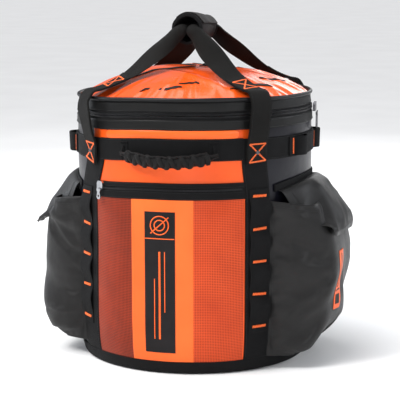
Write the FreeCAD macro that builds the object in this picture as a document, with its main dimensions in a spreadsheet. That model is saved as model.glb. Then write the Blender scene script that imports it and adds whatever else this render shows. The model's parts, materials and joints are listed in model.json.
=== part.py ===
import FreeCAD, Part
import Sketcher
import math
import os

# Rope storage bag: a stiff round fabric drum with a domed lid, zips, side pockets,
# carry webbing and shoulder straps. Millimetres. Z up, front is -Y.
# A bearing is measured from -Y towards +X.

os.makedirs("parts", exist_ok=True)
doc = FreeCAD.newDocument("rope_bag")
V = FreeCAD.Vector

DIMS = [
    # wall of the drum: foot, lower turn, upper turn, cylinder
    ("wall_r", 200.0), ("wall_thk", 2.0), ("wall_top", 418.0),
    ("foot_r", 188.0), ("foot_z", 3.0),
    ("turn_a_r", 194.0), ("turn_a_z", 18.0),
    ("turn_b_r", 198.2), ("turn_b_z", 46.0), ("turn_c_z", 95.0),
    ("board_r", 184.0), ("board_thk", 3.0), ("liner_thk", 1.2),
    ("binding_z", 21.5), ("binding_thk", 1.8),
    # columns of webbing
    ("col_th", 46.7), ("col_half", 6.4), ("col_lo", 22.0), ("col_hi", 386.0),
    ("daisy_half", 5.2), ("daisy_thk", 1.6), ("daisy_bow", 3.1),
    ("tack_lo", 77.0), ("tack_pitch", 54.0), ("tack_wide", 26.0), ("tack_tall", 3.6),
    # front pocket and its zip
    ("pocket_lo", 23.0), ("pocket_hi", 290.0), ("pocket_th", 38.5), ("strip_th", 15.0),
    ("badge_lo", 37.0), ("badge_hi", 270.0), ("badge_th_a", 8.0), ("badge_th_b", 6.5),
    ("ptape_hi", 316.0), ("pcoil_z", 303.0), ("pcoil_tall", 5.0),
    # hoop of bands
    ("band_lo", 352.0), ("band_hi", 388.0), ("side_lo", 350.0), ("side_hi", 386.0),
    ("trim_hi", 401.0), ("zband_lo", 402.0),
    # rim zip and lid
    ("coil_in", 198.5), ("coil_out", 203.0), ("rim_z", 424.2), ("lid_z", 424.8),
    ("coil_top", 429.0), ("zip_end", 146.0),
    ("lid_r", 199.5), ("lid_edge", 447.0), ("dome_rise", 48.0),
    ("piping_r", 203.4), ("piping_rod", 3.0),
    # carry webbing
    ("carry_half", 19.0), ("carry_thk", 2.0), ("carry_fold", 9.5),
    ("wrap_x", 3.0), ("wrap_z", 555.0), ("wrap_len", 114.0), ("wrap_r", 26.0), ("wrap_bore", 22.3),
    ("wflap_a", 20.0), ("wflap_b", 120.0),
    # front grab handle
    ("grab_half", 80.0), ("grab_sag", 32.0), ("grab_tilt", 37.0), ("grab_y", 192.5), ("grab_th", 2.3),
    ("grab_z", 372.0), ("grab_deep", 7.0), ("grab_tall", 13.0), ("grab_cord", 3.0), ("grab_span", 68.0),
    # side pockets
    ("pouch_lo", 14.0), ("pouch_hi", 268.0), ("pouch_x", 264.0), ("pouch_thk", 2.0),
    ("flap_w", 208.0), ("flap_thk", 2.4), ("flap_z", 309.0), ("flap_clear", 203.4),
    # zip sliders
    ("sl_in", 204.1), ("sl_out", 208.2), ("sl_wide", 14.0), ("sl_lo", 417.0), ("sl_hi", 431.0),
    ("pull_in", 208.8), ("pull_out", 210.8), ("pull_lo", 388.0), ("pull_wide", 10.0),
    ("psl_lo", 299.0), ("psl_hi", 312.0), ("ppull_lo", 282.0),
    ("slider_a_th", 94.5), ("slider_b_th", 99.5), ("slider_p_th", -33.0),
    # back
    ("strap_in", 42.0), ("strap_wide", 52.0), ("tail_wide", 26.0), ("back_clear", 204.4),
]
VAL = dict(DIMS)
sheet = doc.addObject("Spreadsheet::Sheet", "dims")
for i, (name, value) in enumerate(DIMS):
    sheet.set("A%d" % (i + 1), name)
    sheet.set("B%d" % (i + 1), str(value))
    sheet.setAlias("B%d" % (i + 1), name)
doc.recompute()


class E:
    """A size as both its value and the sheet expression that gives it."""

    def __init__(self, v, e):
        self.v = float(v)
        self.e = e

    def __add__(self, o):
        o = w(o)
        return E(self.v + o.v, "(%s + %s)" % (self.e, o.e))

    def __sub__(self, o):
        o = w(o)
        return E(self.v - o.v, "(%s - %s)" % (self.e, o.e))

    def __mul__(self, o):
        o = w(o)
        return E(self.v * o.v, "(%s * %s)" % (self.e, o.e))

    def __truediv__(self, o):
        o = w(o)
        return E(self.v / o.v, "(%s / %s)" % (self.e, o.e))

    def __neg__(self):
        return E(-self.v, "(0 - %s)" % self.e)

    __radd__ = __add__
    __rmul__ = __mul__

    def __rsub__(self, o):
        return w(o) - self


def w(o):
    return o if isinstance(o, E) else E(o, ("%.5f" % o) if o >= 0 else ("(0 - %.5f)" % -o))


def D(name):
    return E(VAL[name], "dims." + name)


def sn(a):
    a = w(a)
    return E(math.sin(math.radians(a.v)), "sin(%s)" % a.e)


def cs(a):
    a = w(a)
    return E(math.cos(math.radians(a.v)), "cos(%s)" % a.e)


def bind(obj, **props):
    for key, val in props.items():
        obj.setExpression(key.replace("__", "."), w(val).e)


def put(obj, x=0, y=0, z=0, turn=None, axis=V(0, 0, 1)):
    x, y, z = w(x), w(y), w(z)
    t = w(turn if turn is not None else 0)
    obj.Placement = FreeCAD.Placement(V(x.v, y.v, z.v), FreeCAD.Rotation(axis, t.v))
    for key, val in (("x", x), ("y", y), ("z", z)):
        if "dims." in val.e:
            obj.setExpression("Placement.Base." + key, val.e)
    if turn is not None and "dims." in t.e and t.v > 0:
        obj.setExpression("Placement.Rotation.Angle", t.e)
    return obj


def plane_of(body, role):
    for f in body.Origin.OriginFeatures:
        if f.Role == role:
            return f
    raise RuntimeError("no plane " + role)


def sketch(body, role, pts, name):
    sk = body.newObject("Sketcher::SketchObject", name)
    sk.AttachmentSupport = [(plane_of(body, role), "")]
    sk.MapMode = "FlatFace"
    pts = [(w(a), w(b)) for a, b in pts]
    n = len(pts)
    vec = [V(a.v, b.v, 0) for a, b in pts]
    sk.addGeometry([Part.LineSegment(vec[i], vec[(i + 1) % n]) for i in range(n)], False)
    cons = [Sketcher.Constraint("Coincident", i, 2, (i + 1) % n, 1) for i in range(n)]
    sk.addConstraint(cons)
    for i, (a, b) in enumerate(pts):
        cx = sk.addConstraint(Sketcher.Constraint("DistanceX", i, 1, a.v))
        cy = sk.addConstraint(Sketcher.Constraint("DistanceY", i, 1, b.v))
        if "dims." in a.e:
            sk.setExpression("Constraints[%d]" % cx, a.e)
        if "dims." in b.e:
            sk.setExpression("Constraints[%d]" % cy, b.e)
    return sk


def rev(name, pts, a=None, b=None):
    """Profile (radius, height) turned about Z from bearing a to bearing b."""
    body = doc.addObject("PartDesign::Body", name)
    body.Label = name
    sk = sketch(body, "XZ_Plane", pts, name + "_profile")
    r = body.newObject("PartDesign::Revolution", name + "_turn")
    r.Profile = sk
    r.ReferenceAxis = (sk, ["V_Axis"])
    sk.Visibility = False
    if a is None:
        r.Angle = 360.0
        return body
    a, b = w(a), w(b)
    r.Angle = b.v - a.v
    if "dims." in (b - a).e:
        r.setExpression("Angle", (b - a).e)
    start = a - 90.0
    if start.v < 0:
        start = start + 360.0
    put(body, turn=start)
    return body


def pad(name, role, pts, length):
    body = doc.addObject("PartDesign::Body", name)
    body.Label = name
    sk = sketch(body, role, pts, name + "_profile")
    p = body.newObject("PartDesign::Pad", name + "_pad")
    p.Profile = sk
    length = w(length)
    p.Length = length.v
    if "dims." in length.e:
        p.setExpression("Length", length.e)
    sk.Visibility = False
    return body


def boolean(kind, name, a, b):
    o = doc.addObject("Part::" + kind, name)
    o.Label = name
    o.Base = a
    o.Tool = b
    return o


def group(name, parts):
    o = doc.addObject("Part::Compound", name)
    o.Label = name
    o.Links = parts
    return o


def cylinder(name, r, h, z=0):
    o = doc.addObject("Part::Cylinder", name)
    o.Radius, o.Height = w(r).v, w(h).v
    bind(o, Radius=r, Height=h)
    put(o, z=z)
    return o


# The wall's outside radius at a height, by straight stretches between its turns.
STOPS = [("foot_r", "foot_z"), ("turn_a_r", "turn_a_z"), ("turn_b_r", "turn_b_z"), ("wall_r", "turn_c_z")]


def wall_at(z):
    z = w(z)
    for i in range(3):
        (ra, za), (rb, zb) = STOPS[i], STOPS[i + 1]
        if z.v <= VAL[zb]:
            return D(ra) + (D(rb) - D(ra)) * (z - D(za)) / (D(zb) - D(za))
    return D("wall_r")


def skin_pts(z0, z1, o0, o1):
    z0, z1 = w(z0), w(z1)
    hs = [z0] + [D(k) for k in ("turn_a_z", "turn_b_z", "turn_c_z") if z0.v + 0.5 < VAL[k] < z1.v - 0.5] + [z1]
    inner = [(wall_at(z) + o0, z) for z in hs]
    outer = [(wall_at(z) + o1, z) for z in hs]
    return inner + outer[::-1]


def skin(name, z0, z1, o0, o1, a=None, b=None):
    return rev(name, skin_pts(z0, z1, o0, o1), a, b)


NODES = {}


def node(obj):
    NODES[obj.Label] = obj
    return obj


col = D("col_th")
rear = 180 - D("col_th")

# --- drum -----------------------------------------------------------------------
node(rev("base_panel", [(0, 0), (D("foot_r"), 0), (D("foot_r"), D("foot_z")), (0, D("foot_z"))]))
node(rev("base_board", [(0, D("foot_z")), (D("board_r"), D("foot_z")),
                        (D("board_r"), D("foot_z") + D("board_thk")), (0, D("foot_z") + D("board_thk"))]))
bt = D("binding_thk")
node(rev("base_binding", [
    (D("foot_r") + 0.2, 0.5), (D("foot_r") + 0.2, D("foot_z") + 0.1), (D("turn_a_r") + 0.2, D("turn_a_z")),
    (wall_at(D("binding_z")) + 0.3, D("binding_z")), (wall_at(D("binding_z")) + 0.3 + bt, D("binding_z")),
    (D("turn_a_r") + 0.3 + bt, D("turn_a_z")), (D("foot_r") + 0.2 + bt, D("foot_z")), (D("foot_r") + 0.2 + bt, 0.5)]))
for name, a, b in (("front_panel", -col, col), ("right_side_panel", col, rear),
                   ("back_panel", rear, 360 - rear), ("left_side_panel", 360 - rear, 360 - col)):
    node(skin(name, D("foot_z"), D("wall_top"), -D("wall_thk"), 0, a, b))
lt = D("liner_thk")
node(skin("wall_liner", D("foot_z") + D("board_thk") + 0.2, D("wall_top") - 2, -D("wall_thk") - 0.1 - lt,
          -D("wall_thk") - 0.1))
ring = doc.addObject("Part::Torus", "rope_anchor_loop")
ring.Label = "rope_anchor_loop"
ring.Radius1, ring.Radius2 = 11.5, 2.0
put(ring, 0, D("wall_r") - 17.5, 110, turn=90, axis=V(0, 1, 0))
node(ring)

# --- front pocket ---------------------------------------------------------------
pl, ph = D("pocket_lo"), D("pocket_hi")
node(skin("front_mesh_left", pl, ph, 0.3, 1.3, -D("pocket_th"), -D("strip_th")))
node(skin("front_mesh_right", pl, ph, 0.3, 1.3, D("strip_th"), D("pocket_th")))
node(skin("front_strip", pl, ph, 0.3, 1.5, -D("strip_th"), D("strip_th")))
node(skin("front_badge", D("badge_lo"), D("badge_hi"), 1.6, 2.2, -D("badge_th_a"), D("badge_th_b")))
node(skin("pocket_zip_tape", ph, D("ptape_hi"), 0.3, 1.7, -D("pocket_th"), D("pocket_th")))
node(skin("pocket_zip_coil", D("pcoil_z"), D("pcoil_z") + D("pcoil_tall"), 1.9, 3.6,
          -D("pocket_th") + 1.5, D("pocket_th") - 1.5))

# --- columns --------------------------------------------------------------------
ch, dh = D("col_half"), D("daisy_half")


def pair(name, lo, hi, maker):
    a = maker(name + "_right", lo)
    b = maker(name + "_left", hi)
    return node(group(name, [a, b]))


pair("column_webbing_front", col, -col,
     lambda n, c: skin(n, D("col_lo"), D("col_hi"), 0.3, 1.7, c - ch, c + ch))
pair("column_webbing_back", rear, 360 - rear,
     lambda n, c: skin(n, D("col_lo"), D("col_hi"), 0.3, 1.7, c - ch, c + ch))


def daisy_pts():
    """Webbing held flat at each tack and standing off between tacks."""
    path = [(D("tack_lo") - 11, 0.0)]
    for k in range(5):
        t = D("tack_lo") + D("tack_pitch") * k
        path.append((t - 4, 0.0))
        path.append((t + 4, 0.0))
        if k < 4:
            path.append((t + D("tack_pitch") * 0.28, 0.78))
            path.append((t + D("tack_pitch") * 0.5, 1.0))
            path.append((t + D("tack_pitch") * 0.72, 0.78))
    path.append((D("tack_lo") + D("tack_pitch") * 4 + 11, 0.0))
    base = D("wall_r") + 1.9
    inner = [(base + D("daisy_bow") * k, z) for z, k in path]
    outer = [(base + D("daisy_thk") + D("daisy_bow") * k, z) for z, k in path]
    return inner + outer[::-1]


pair("daisy_chain_front", col, -col, lambda n, c: rev(n, daisy_pts(), c - dh, c + dh))
pair("daisy_chain_back", rear, 360 - rear, lambda n, c: rev(n, daisy_pts(), c - dh, c + dh))

tacks = []
for side, c in (("fr", col), ("fl", 360 - col), ("br", rear), ("bl", 360 - rear)):
    for k in range(5):
        b = doc.addObject("Part::Box", "tack_%s_%d" % (side, k))
        b.Length, b.Width, b.Height = VAL["tack_wide"], 0.7, VAL["tack_tall"]
        bind(b, Length=D("tack_wide"), Height=D("tack_tall"))
        r = D("wall_r") + 3.6 + 0.7
        # the box's corner sits half its width to one side of the column's bearing
        x = r * sn(c) - D("tack_wide") * 0.5 * cs(c)
        y = -(r * cs(c)) - D("tack_wide") * 0.5 * sn(c)
        put(b, x, y, D("tack_lo") + D("tack_pitch") * k - D("tack_tall") * 0.5, turn=c)
        tacks.append(b)
node(group("column_bartacks", tacks))

stitches, rivets = [], []
for side, c in (("fr", col), ("fl", 360 - col), ("br", rear), ("bl", 360 - rear)):
    s = pad("stitch_" + side, "XZ_Plane", [(-16, 349), (16, 349), (1.5, 363.5), (16, 378), (-16, 378), (-1.5, 363.5)], 0.5)
    r = D("wall_r") + 6.0
    put(s, r * sn(c), -(r * cs(c)), 0, turn=c)
    stitches.append(s)
    k = doc.addObject("Part::Cylinder", "rivet_" + side)
    k.Radius, k.Height = 3.6, 1.4
    rr = D("wall_r") + 6.6
    put(k, rr * sn(c), -(rr * cs(c)), 372.5)
    k.Placement = FreeCAD.Placement(k.Placement.Base, FreeCAD.Rotation(V(0, 0, 1), V(sn(c).v, -cs(c).v, 0)))
    rivets.append(k)
node(group("hourglass_stitches", stitches))
node(group("column_rivets", rivets))

# --- hoop of bands and gear loops -----------------------------------------------
node(skin("front_band", D("band_lo"), D("band_hi"), 0.3, 2.2, -(col - ch) + 0.2, col - ch - 0.2))
node(skin("front_trim", D("band_hi"), D("trim_hi"), 0.3, 1.6, -35, 38))
edge = col + ch + 0.2
node(skin("right_side_band", D("side_lo"), D("side_hi"), 0.3, 2.0, edge, 180 - edge))
node(skin("left_side_band", D("side_lo"), D("side_hi"), 0.3, 2.0, 180 + edge, 360 - edge))
node(skin("back_band", D("side_lo"), D("side_hi"), 0.3, 2.0, rear + ch + 0.2, 360 - rear - ch - 0.2))

OUT = [(66, 4.0), (68, 4.1), (70.5, 12.0), (74.5, 16.0), (78.5, 12.0), (81, 4.1), (85, 4.0), (90, 4.0), (95, 4.0),
       (99, 4.1), (101.5, 12.0), (105.5, 16.0), (109.5, 12.0), (112, 4.1), (114, 4.0)]
INN = [(66, 2.2), (68.7, 2.3), (71.2, 10.0), (74.5, 13.8), (77.8, 10.0), (80.3, 2.3), (85, 2.2), (90, 2.2), (95, 2.2),
       (99.7, 2.3), (102.2, 10.0), (105.5, 13.8), (108.8, 10.0), (111.3, 2.3), (114, 2.2)]


def gear(name, turn):
    pts = [((D("wall_r") + o) * sn(t), -((D("wall_r") + o) * cs(t))) for t, o in OUT + INN[::-1]]
    b = pad(name, "XY_Plane", pts, D("side_hi") - D("side_lo") - 4)
    put(b, 0, 0, D("side_lo") + 2, turn=turn)
    return node(b)


gear("right_gear_loops", 0)
gear("left_gear_loops", 180)

# --- rim ------------------------------------------------------------------------
node(skin("zip_band", D("zband_lo"), D("wall_top"), 0.3, 2.0))
ze = D("zip_end")
node(rev("lower_zip_coil", [(D("coil_in"), D("wall_top") + 0.2), (D("coil_out"), D("wall_top") + 0.2),
                            (D("coil_out"), D("rim_z")), (D("coil_in"), D("rim_z"))], -ze, ze))
node(rev("lid_hinge_tape", [(D("coil_in"), D("wall_top") + 0.2), (D("coil_out"), D("wall_top") + 0.2),
                            (D("coil_out"), D("rim_z")), (D("coil_in"), D("rim_z"))], ze + 1, 359 - ze))

# --- lid ------------------------------------------------------------------------
node(rev("upper_zip_coil", [(D("coil_in"), D("lid_z")), (D("coil_out"), D("lid_z")),
                            (D("coil_out"), D("coil_top")), (D("coil_in"), D("coil_top"))]))
RS = [0.0, 40.0, 80.0, 115.0, 145.0, 170.0, 186.0, 195.0]


def dome_z(r):
    q = w(r) / D("lid_r")
    return D("lid_edge") + D("dome_rise") * (1 - q * q)


up = [(w(r), dome_z(r)) for r in RS] + [(D("lid_r"), D("lid_edge")), (D("lid_r"), D("coil_top") + 0.2)]
down = [(D("lid_r") - 2, D("coil_top") + 0.2), (D("lid_r") - 2, D("lid_edge") - 1.2)]
down += [(w(r) if r == 0 else w(r) - 0.6, dome_z(r) - 2) for r in RS[::-1]]
node(rev("lid_dome", up + down))
node(rev("lid_side_band", [(D("lid_r") + 0.1, D("coil_top") + 0.2), (D("lid_r") + 1.8, D("coil_top") + 0.2),
                           (D("lid_r") + 1.8, D("lid_edge") - 1), (D("lid_r") + 0.1, D("lid_edge") - 1)]))
pip = doc.addObject("Part::Torus", "lid_piping")
pip.Label = "lid_piping"
pip.Radius1, pip.Radius2 = VAL["piping_r"], VAL["piping_rod"]
bind(pip, Radius1=D("piping_r"), Radius2=D("piping_rod"))
put(pip, z=D("lid_edge") + 2.4)
node(pip)
tab = doc.addObject("Part::Box", "lid_tab")
tab.Label = "lid_tab"
tab.Length, tab.Width, tab.Height = 30.0, 12.0, 3.0
put(tab, 12, 6, D("lid_edge") + D("dome_rise") + 0.2)
node(tab)

# --- carry webbing, soft: cross-sections strung along the two legs ----------------


def leg(side):
    """Centres, width directions, half widths and half thicknesses, front half of a loop."""
    th = math.radians(VAL["col_th"])
    hw, ht, fold = sheet.get("carry_half"), sheet.get("carry_thk") / 2.0, sheet.get("carry_fold")
    wr = sheet.get("wall_r")

    def c(off, z):
        return V(side * (wr + off) * math.sin(th), -(wr + off) * math.cos(th), z)

    tang = V(math.cos(th), side * math.sin(th), 0)
    rows = [(c(4.6, 349), tang, hw, ht), (c(4.6, 378), tang, hw, ht), (c(8.0, 386), tang, hw, ht),
            (c(12.5, 394), tang, hw, ht), (c(12.8, 432), tang, hw, ht), (c(11.6, 442), tang, hw, ht),
            (c(7.6, 451), tang, hw, ht), (c(0.0, 460), tang, hw, ht)]
    wz, wx = sheet.get("wrap_z"), sheet.get("wrap_x")
    mouth = V(wx + side * 10.5, -sheet.get("wrap_len") / 2.0 - 5, wz)
    start = rows[-1][0]
    flat = V(mouth.x - start.x, mouth.y - start.y, 0)
    flat.normalize()
    across = V(flat.y * side, -flat.x * side, 0)
    if across.x < 0:
        across = across.negative()
    for t, k in ((0.2, 0.7), (0.45, 1.0), (0.7, 1.0), (0.88, 0.7)):
        p = start + (mouth - start) * t
        p = p + V(0, 0, 10.0 * 4 * t * (1 - t))
        d = tang * (1 - k) + across * k if t < 0.8 else V(1, 0, 0) * (1 - k) + across * k
        d.normalize()
        f = max(0.0, (t - 0.3) / 0.7)
        rows.append((p, d, hw + (fold - hw) * f, ht + (1.9 - ht) * f))
    rows.append((mouth, V(1, 0, 0), fold, 1.9))
    rows.append((V(mouth.x, -20, wz), V(1, 0, 0), fold, 1.9))
    return rows


def webbing(name, side):
    rows = leg(side)
    rows = rows + [(V(p.x, -p.y, p.z), V(d.x, -d.y, d.z), a, b) for p, d, a, b in rows[::-1]]
    n = len(rows)
    wires = []
    last = None
    for i, (p, d, a, b) in enumerate(rows):
        q0, q1 = rows[max(0, i - 1)][0], rows[min(n - 1, i + 1)][0]
        t = q1 - q0
        t.normalize()
        d = d - t * d.dot(t)
        d.normalize()
        u = t.cross(d)
        if last is not None and u.dot(last) < 0:
            u = u.negative()
        last = u
        c = [p + d * a + u * b, p - d * a + u * b, p - d * a - u * b, p + d * a - u * b]
        wires.append(Part.makePolygon(c + [c[0]]))
    shell = Part.makeLoft(wires, True, True)
    o = doc.addObject("Part::Feature", name)
    o.Label = name
    o.Shape = shell
    o.Placement = FreeCAD.Placement(V(0, 0, 0), FreeCAD.Rotation())
    return node(o)


webbing("carry_webbing_left", -1)
webbing("carry_webbing_right", 1)

outer = cylinder("wrap_outer", D("wrap_r"), D("wrap_len"))
inner = cylinder("wrap_inner", D("wrap_bore"), D("wrap_len") + 2, -1)
wrap = boolean("Cut", "handle_wrap", outer, inner)
put(wrap, D("wrap_x"), D("wrap_len") * 0.5, D("wrap_z"), turn=90, axis=V(1, 0, 0))
node(wrap)
wf = [(D("wrap_r") + 0.4, 0), (D("wrap_r") + 2.2, 0), (D("wrap_r") + 2.2, D("wrap_len") - 8), (D("wrap_r") + 0.4, D("wrap_len") - 8)]
wfb = rev("wrap_flap_roll", wf, D("wflap_a") + 90, D("wflap_b") + 90)
wfg = group("handle_wrap_flap", [wfb])
put(wfg, D("wrap_x"), D("wrap_len") * 0.5 - 4, D("wrap_z"), turn=90, axis=V(1, 0, 0))
node(wfg)

# --- front grab handle ------------------------------------------------------------
rr = (D("grab_half") * D("grab_half") + D("grab_sag") * D("grab_sag")) / (2 * D("grab_sag"))
tilt = D("grab_tilt")
toward = V(0, -math.cos(math.radians(tilt.v)), -math.sin(math.radians(tilt.v)))
mid_y = -D("grab_y") - D("grab_sag") * cs(tilt)
mid_z = D("grab_z") - D("grab_sag") * sn(tilt)


def frame_of(span):
    """Placement whose local Z is the arc's axis and whose local X points to the arc's start."""
    h = math.radians(w(span).v / 2.0)
    side = V(1, 0, 0)
    ax = toward * math.cos(h) - side * math.sin(h)
    ay = toward * math.sin(h) + side * math.cos(h)
    y = mid_y + rr * cs(tilt)
    z = mid_z + rr * sn(tilt)
    turn = FreeCAD.Rotation(V(0, 0, 1), VAL["grab_th"])
    rot = turn.multiply(FreeCAD.Rotation(ax, ay, ax.cross(ay), "ZXY"))
    x = -(y * sn(D("grab_th")))
    y = y * cs(D("grab_th"))
    return x, y, z, rot


def seat(o, span):
    x, y, z, rot = frame_of(span)
    o.Placement = FreeCAD.Placement(V(x.v, y.v, z.v), rot)
    o.setExpression("Placement.Base.x", x.e)
    o.setExpression("Placement.Base.y", y.e)
    o.setExpression("Placement.Base.z", z.e)
    return o


def arc(name, rod, span):
    """A round rod along the handle's arc, span degrees about its middle."""
    o = doc.addObject("Part::Torus", name)
    o.Radius1, o.Radius2 = rr.v, w(rod).v
    o.Angle3 = w(span).v
    bind(o, Radius1=rr, Radius2=rod, Angle3=span)
    return seat(o, span)


half = E(math.degrees(math.asin(VAL["grab_half"] / rr.v)), "asin(%s / %s)" % (D("grab_half").e, rr.e))
cord = arc("front_handle_cord", D("grab_cord"), half * 2)
cord.Label = "front_handle_cord"
node(cord)
OVAL = [(math.cos(math.radians(a)), math.sin(math.radians(a))) for a in range(0, 360, 24)]
grip = rev("grip_outer", [(rr + D("grab_deep") * a, D("grab_tall") * b) for a, b in OVAL], 90, D("grab_span") + 90)
seat(grip, D("grab_span"))
node(boolean("Cut", "front_handle_grip", grip, arc("grip_bore", D("grab_cord") + 0.15, D("grab_span") + 6)))
node(group("handle_anchors", [skin("anchor_right", 378, 387, 2.4, 4.6, 22.7, 26.9),
                              skin("anchor_left", 378, 387, 2.4, 4.6, -22.3, -18.1)]))

# --- side pockets -----------------------------------------------------------------
PLAN = [(152, -118.5), (214, -104), (252, -74), (264, -40), (264, 40), (252, 74), (214, 104), (152, 118.5)]
PLAN_IN = [(152, -116.3), (213, -101.8), (250.2, -72.6), (262, -39.6), (262, 39.6), (250.2, 72.6), (213, 101.8), (152, 116.3)]


def side(px):
    return D("pouch_x") - (264 - px)


def pouch(name, turn):
    lo, hi = D("pouch_lo"), D("pouch_hi")
    prof = [(150, lo), (204, lo), (side(246), lo + 26), (side(262), lo + 61), (side(264), 195), (side(250), 228),
            (side(226), hi), (150, hi)]
    prof_in = [(150, lo + 2.5), (203, lo + 2.5), (side(244.6), lo + 27.8), (side(260), lo + 61.6), (side(262), 194.7),
               (side(248.2), 227), (side(224.2), hi), (side(224.2), hi + 30), (150, hi + 30)]
    plan = [(w(x) if x < 200 else side(x), w(y)) for x, y in PLAN]
    plan_in = [(w(x) if x < 200 else side(x), w(y)) for x, y in PLAN_IN]
    a = put(pad(name + "_a", "XZ_Plane", prof, 260), 0, 130, 0)
    b = pad(name + "_b", "XY_Plane", plan, 320)
    c = put(pad(name + "_c", "XZ_Plane", prof_in, 260), 0, 130, 0)
    d = pad(name + "_d", "XY_Plane", plan_in, 320)
    out = boolean("Common", name + "_out", a, b)
    inn = boolean("Common", name + "_in", c, d)
    shell = boolean("Cut", name + "_shell", out, inn)
    # the drum itself closes the pouch at the back
    core = cylinder(name + "_core", D("wall_r") + 0.3, 400, -10)
    o = boolean("Cut", name, shell, core)
    put(o, turn=turn)
    return node(o)


pouch("right_pocket", 0)
pouch("left_pocket", 180)
node(group("pocket_hems", [skin("hem_right", 298, 316, 0.3, 2.2, 56, 124), skin("hem_left", 298, 316, 0.3, 2.2, 236, 304)]))

fz = D("flap_z")
RIGHT_LINE = [(168, -1.0), (206, 1.0), (226, -11.0), (250, -37.0), (268, -64.0), (275, -80.0), (273.5, -92.0)]
LEFT_LINE = [(168, -1.0), (206, 1.0), (230, -27.0), (258, -67.0), (278, -101.0), (286.5, -116.0)]
FLAP_PLAN = [(150, -114), (205, -104), (262, -78), (300, -68), (300, 68), (262, 78), (205, 104), (150, 114)]


def flap(name, line, turn):
    n = len(line)
    top = [(w(x), fz + dz) for x, dz in line]
    low = []
    for i, (x, dz) in enumerate(line):
        (xa, za), (xb, zb) = line[max(0, i - 1)], line[min(n - 1, i + 1)]
        lx, lz = xb - xa, zb - za
        q = math.hypot(lx, lz)
        low.append((w(x) + D("flap_thk") * (lz / q), fz + dz - D("flap_thk") * (lx / q)))
    a = put(pad(name + "_a", "XZ_Plane", top + low[::-1], D("flap_w") + 40), 0, D("flap_w") * 0.5 + 20, 0)
    b = put(pad(name + "_b", "XY_Plane", FLAP_PLAN, 400), 0, 0, 50)
    c = boolean("Common", name + "_c", a, b)
    core = cylinder(name + "_core", D("flap_clear"), 500, -10)
    o = boolean("Cut", name, c, core)
    put(o, turn=turn)
    return node(o)


flap("right_flap", RIGHT_LINE, 0)
flap("left_flap", LEFT_LINE, 180)

# --- back: pad, straps, tails and adjusters ----------------------------------------
node(skin("back_pad", 70, 340, 0.3, 4.0, 152, 208))
STRAP = [(150, 386), (211, 386), (228, 374), (240, 350), (246, 300), (246, 215), (238, 160), (228, 122),
         (219, 124), (228.5, 162), (236.5, 216), (236.5, 299), (231, 347), (221, 366), (208, 376), (150, 376)]
TAIL = [(229.9, 126), (224, 112), (206, 62), (150, 52), (150, 49.5), (208, 59.5), (226.5, 112), (232.4, 125.5)]
core = cylinder("strap_core", D("back_clear"), 500, -10)


def strapping(name, pts, x, wide):
    a = pad(name + "_a", "YZ_Plane", pts, wide)
    put(a, x)
    b = boolean("Cut", name, a, core)
    return b


sx, sw, tw = D("strap_in"), D("strap_wide"), D("tail_wide")
node(strapping("right_shoulder_strap", STRAP, sx, sw))
node(strapping("left_shoulder_strap", STRAP, -sx - sw, sw))
node(group("strap_tails", [strapping("tail_right", TAIL, sx + sw * 0.5 - tw * 0.5, tw),
                           strapping("tail_left", TAIL, -sx - sw * 0.5 - tw * 0.5, tw)]))
ADJ = [(231.9, 123), (234.8, 124), (230.0, 104), (227.1, 105)]
node(group("strap_adjusters", [
    put(pad("adjuster_right", "YZ_Plane", ADJ, 34), sx + sw * 0.5 - 17),
    put(pad("adjuster_left", "YZ_Plane", ADJ, 34), -sx - sw * 0.5 - 17)]))

# --- zip sliders and pulls ---------------------------------------------------------


def slider(name, bearing, lo, hi):
    """A stepped body that straddles the coil from outside."""
    hwid = D("sl_wide") * 0.5
    pts = [(-hwid, lo), (hwid, lo), (hwid, hi - 3), (hwid * 0.6, hi), (-hwid * 0.6, hi), (-hwid, hi - 3)]
    b = pad(name + "_plate", "XZ_Plane", pts, D("sl_out") - D("sl_in"))
    g = group(name, [b])
    b = w(bearing)
    put(g, D("sl_in") * sn(b), -(D("sl_in") * cs(b)), 0, turn=b if b.v > 0 else b + 360)
    return node(g)


def puller(name, bearing, lo, hi):
    hwid = D("pull_wide") * 0.5
    a = pad(name + "_plate", "XZ_Plane",
            [(-hwid, lo + 3), (-hwid * 0.5, lo), (hwid * 0.5, lo), (hwid, lo + 3), (hwid * 0.6, hi - 6),
             (hwid, hi - 3), (hwid * 0.8, hi), (-hwid * 0.8, hi), (-hwid, hi - 3), (-hwid * 0.6, hi - 6)],
            D("pull_out") - D("pull_in"))
    hole = doc.addObject("Part::Cylinder", name + "_eye")
    hole.Radius, hole.Height = 2.0, 8.0
    z = lo + 5.5
    hole.Placement = FreeCAD.Placement(V(0, 3, z.v), FreeCAD.Rotation(V(1, 0, 0), 90))
    hole.setExpression("Placement.Base.z", z.e)
    g = boolean("Cut", name, a, hole)
    b = w(bearing)
    put(g, D("pull_in") * sn(b), -(D("pull_in") * cs(b)), 0, turn=b if b.v > 0 else b + 360)
    return node(g)


slider("lid_slider_a", D("slider_a_th"), D("sl_lo"), D("sl_hi"))
slider("lid_slider_b", D("slider_b_th"), D("sl_lo"), D("sl_hi"))
slider("pocket_slider", D("slider_p_th"), D("psl_lo"), D("psl_hi"))
puller("lid_pull_a", D("slider_a_th"), D("pull_lo"), D("sl_lo") - 1)
puller("lid_pull_b", D("slider_b_th"), D("pull_lo"), D("sl_lo") - 1)
puller("pocket_pull", D("slider_p_th"), D("ppull_lo"), D("psl_lo") + 1)

doc.recompute()

bad = []
for o in doc.Objects:
    st = [str(q) for q in o.State]
    if any(q in ("Invalid", "Error") for q in st):
        bad.append("%s %s" % (o.Name, st))
if bad:
    raise RuntimeError("objects with errors: " + "; ".join(bad))
for label, o in NODES.items():
    if o.Shape.isNull() or not o.Shape.isValid() or not o.Shape.Solids:
        raise RuntimeError("bad shape: " + label)
for label, o in NODES.items():
    o.Shape.exportStep("parts/%s.step" % label)
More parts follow.
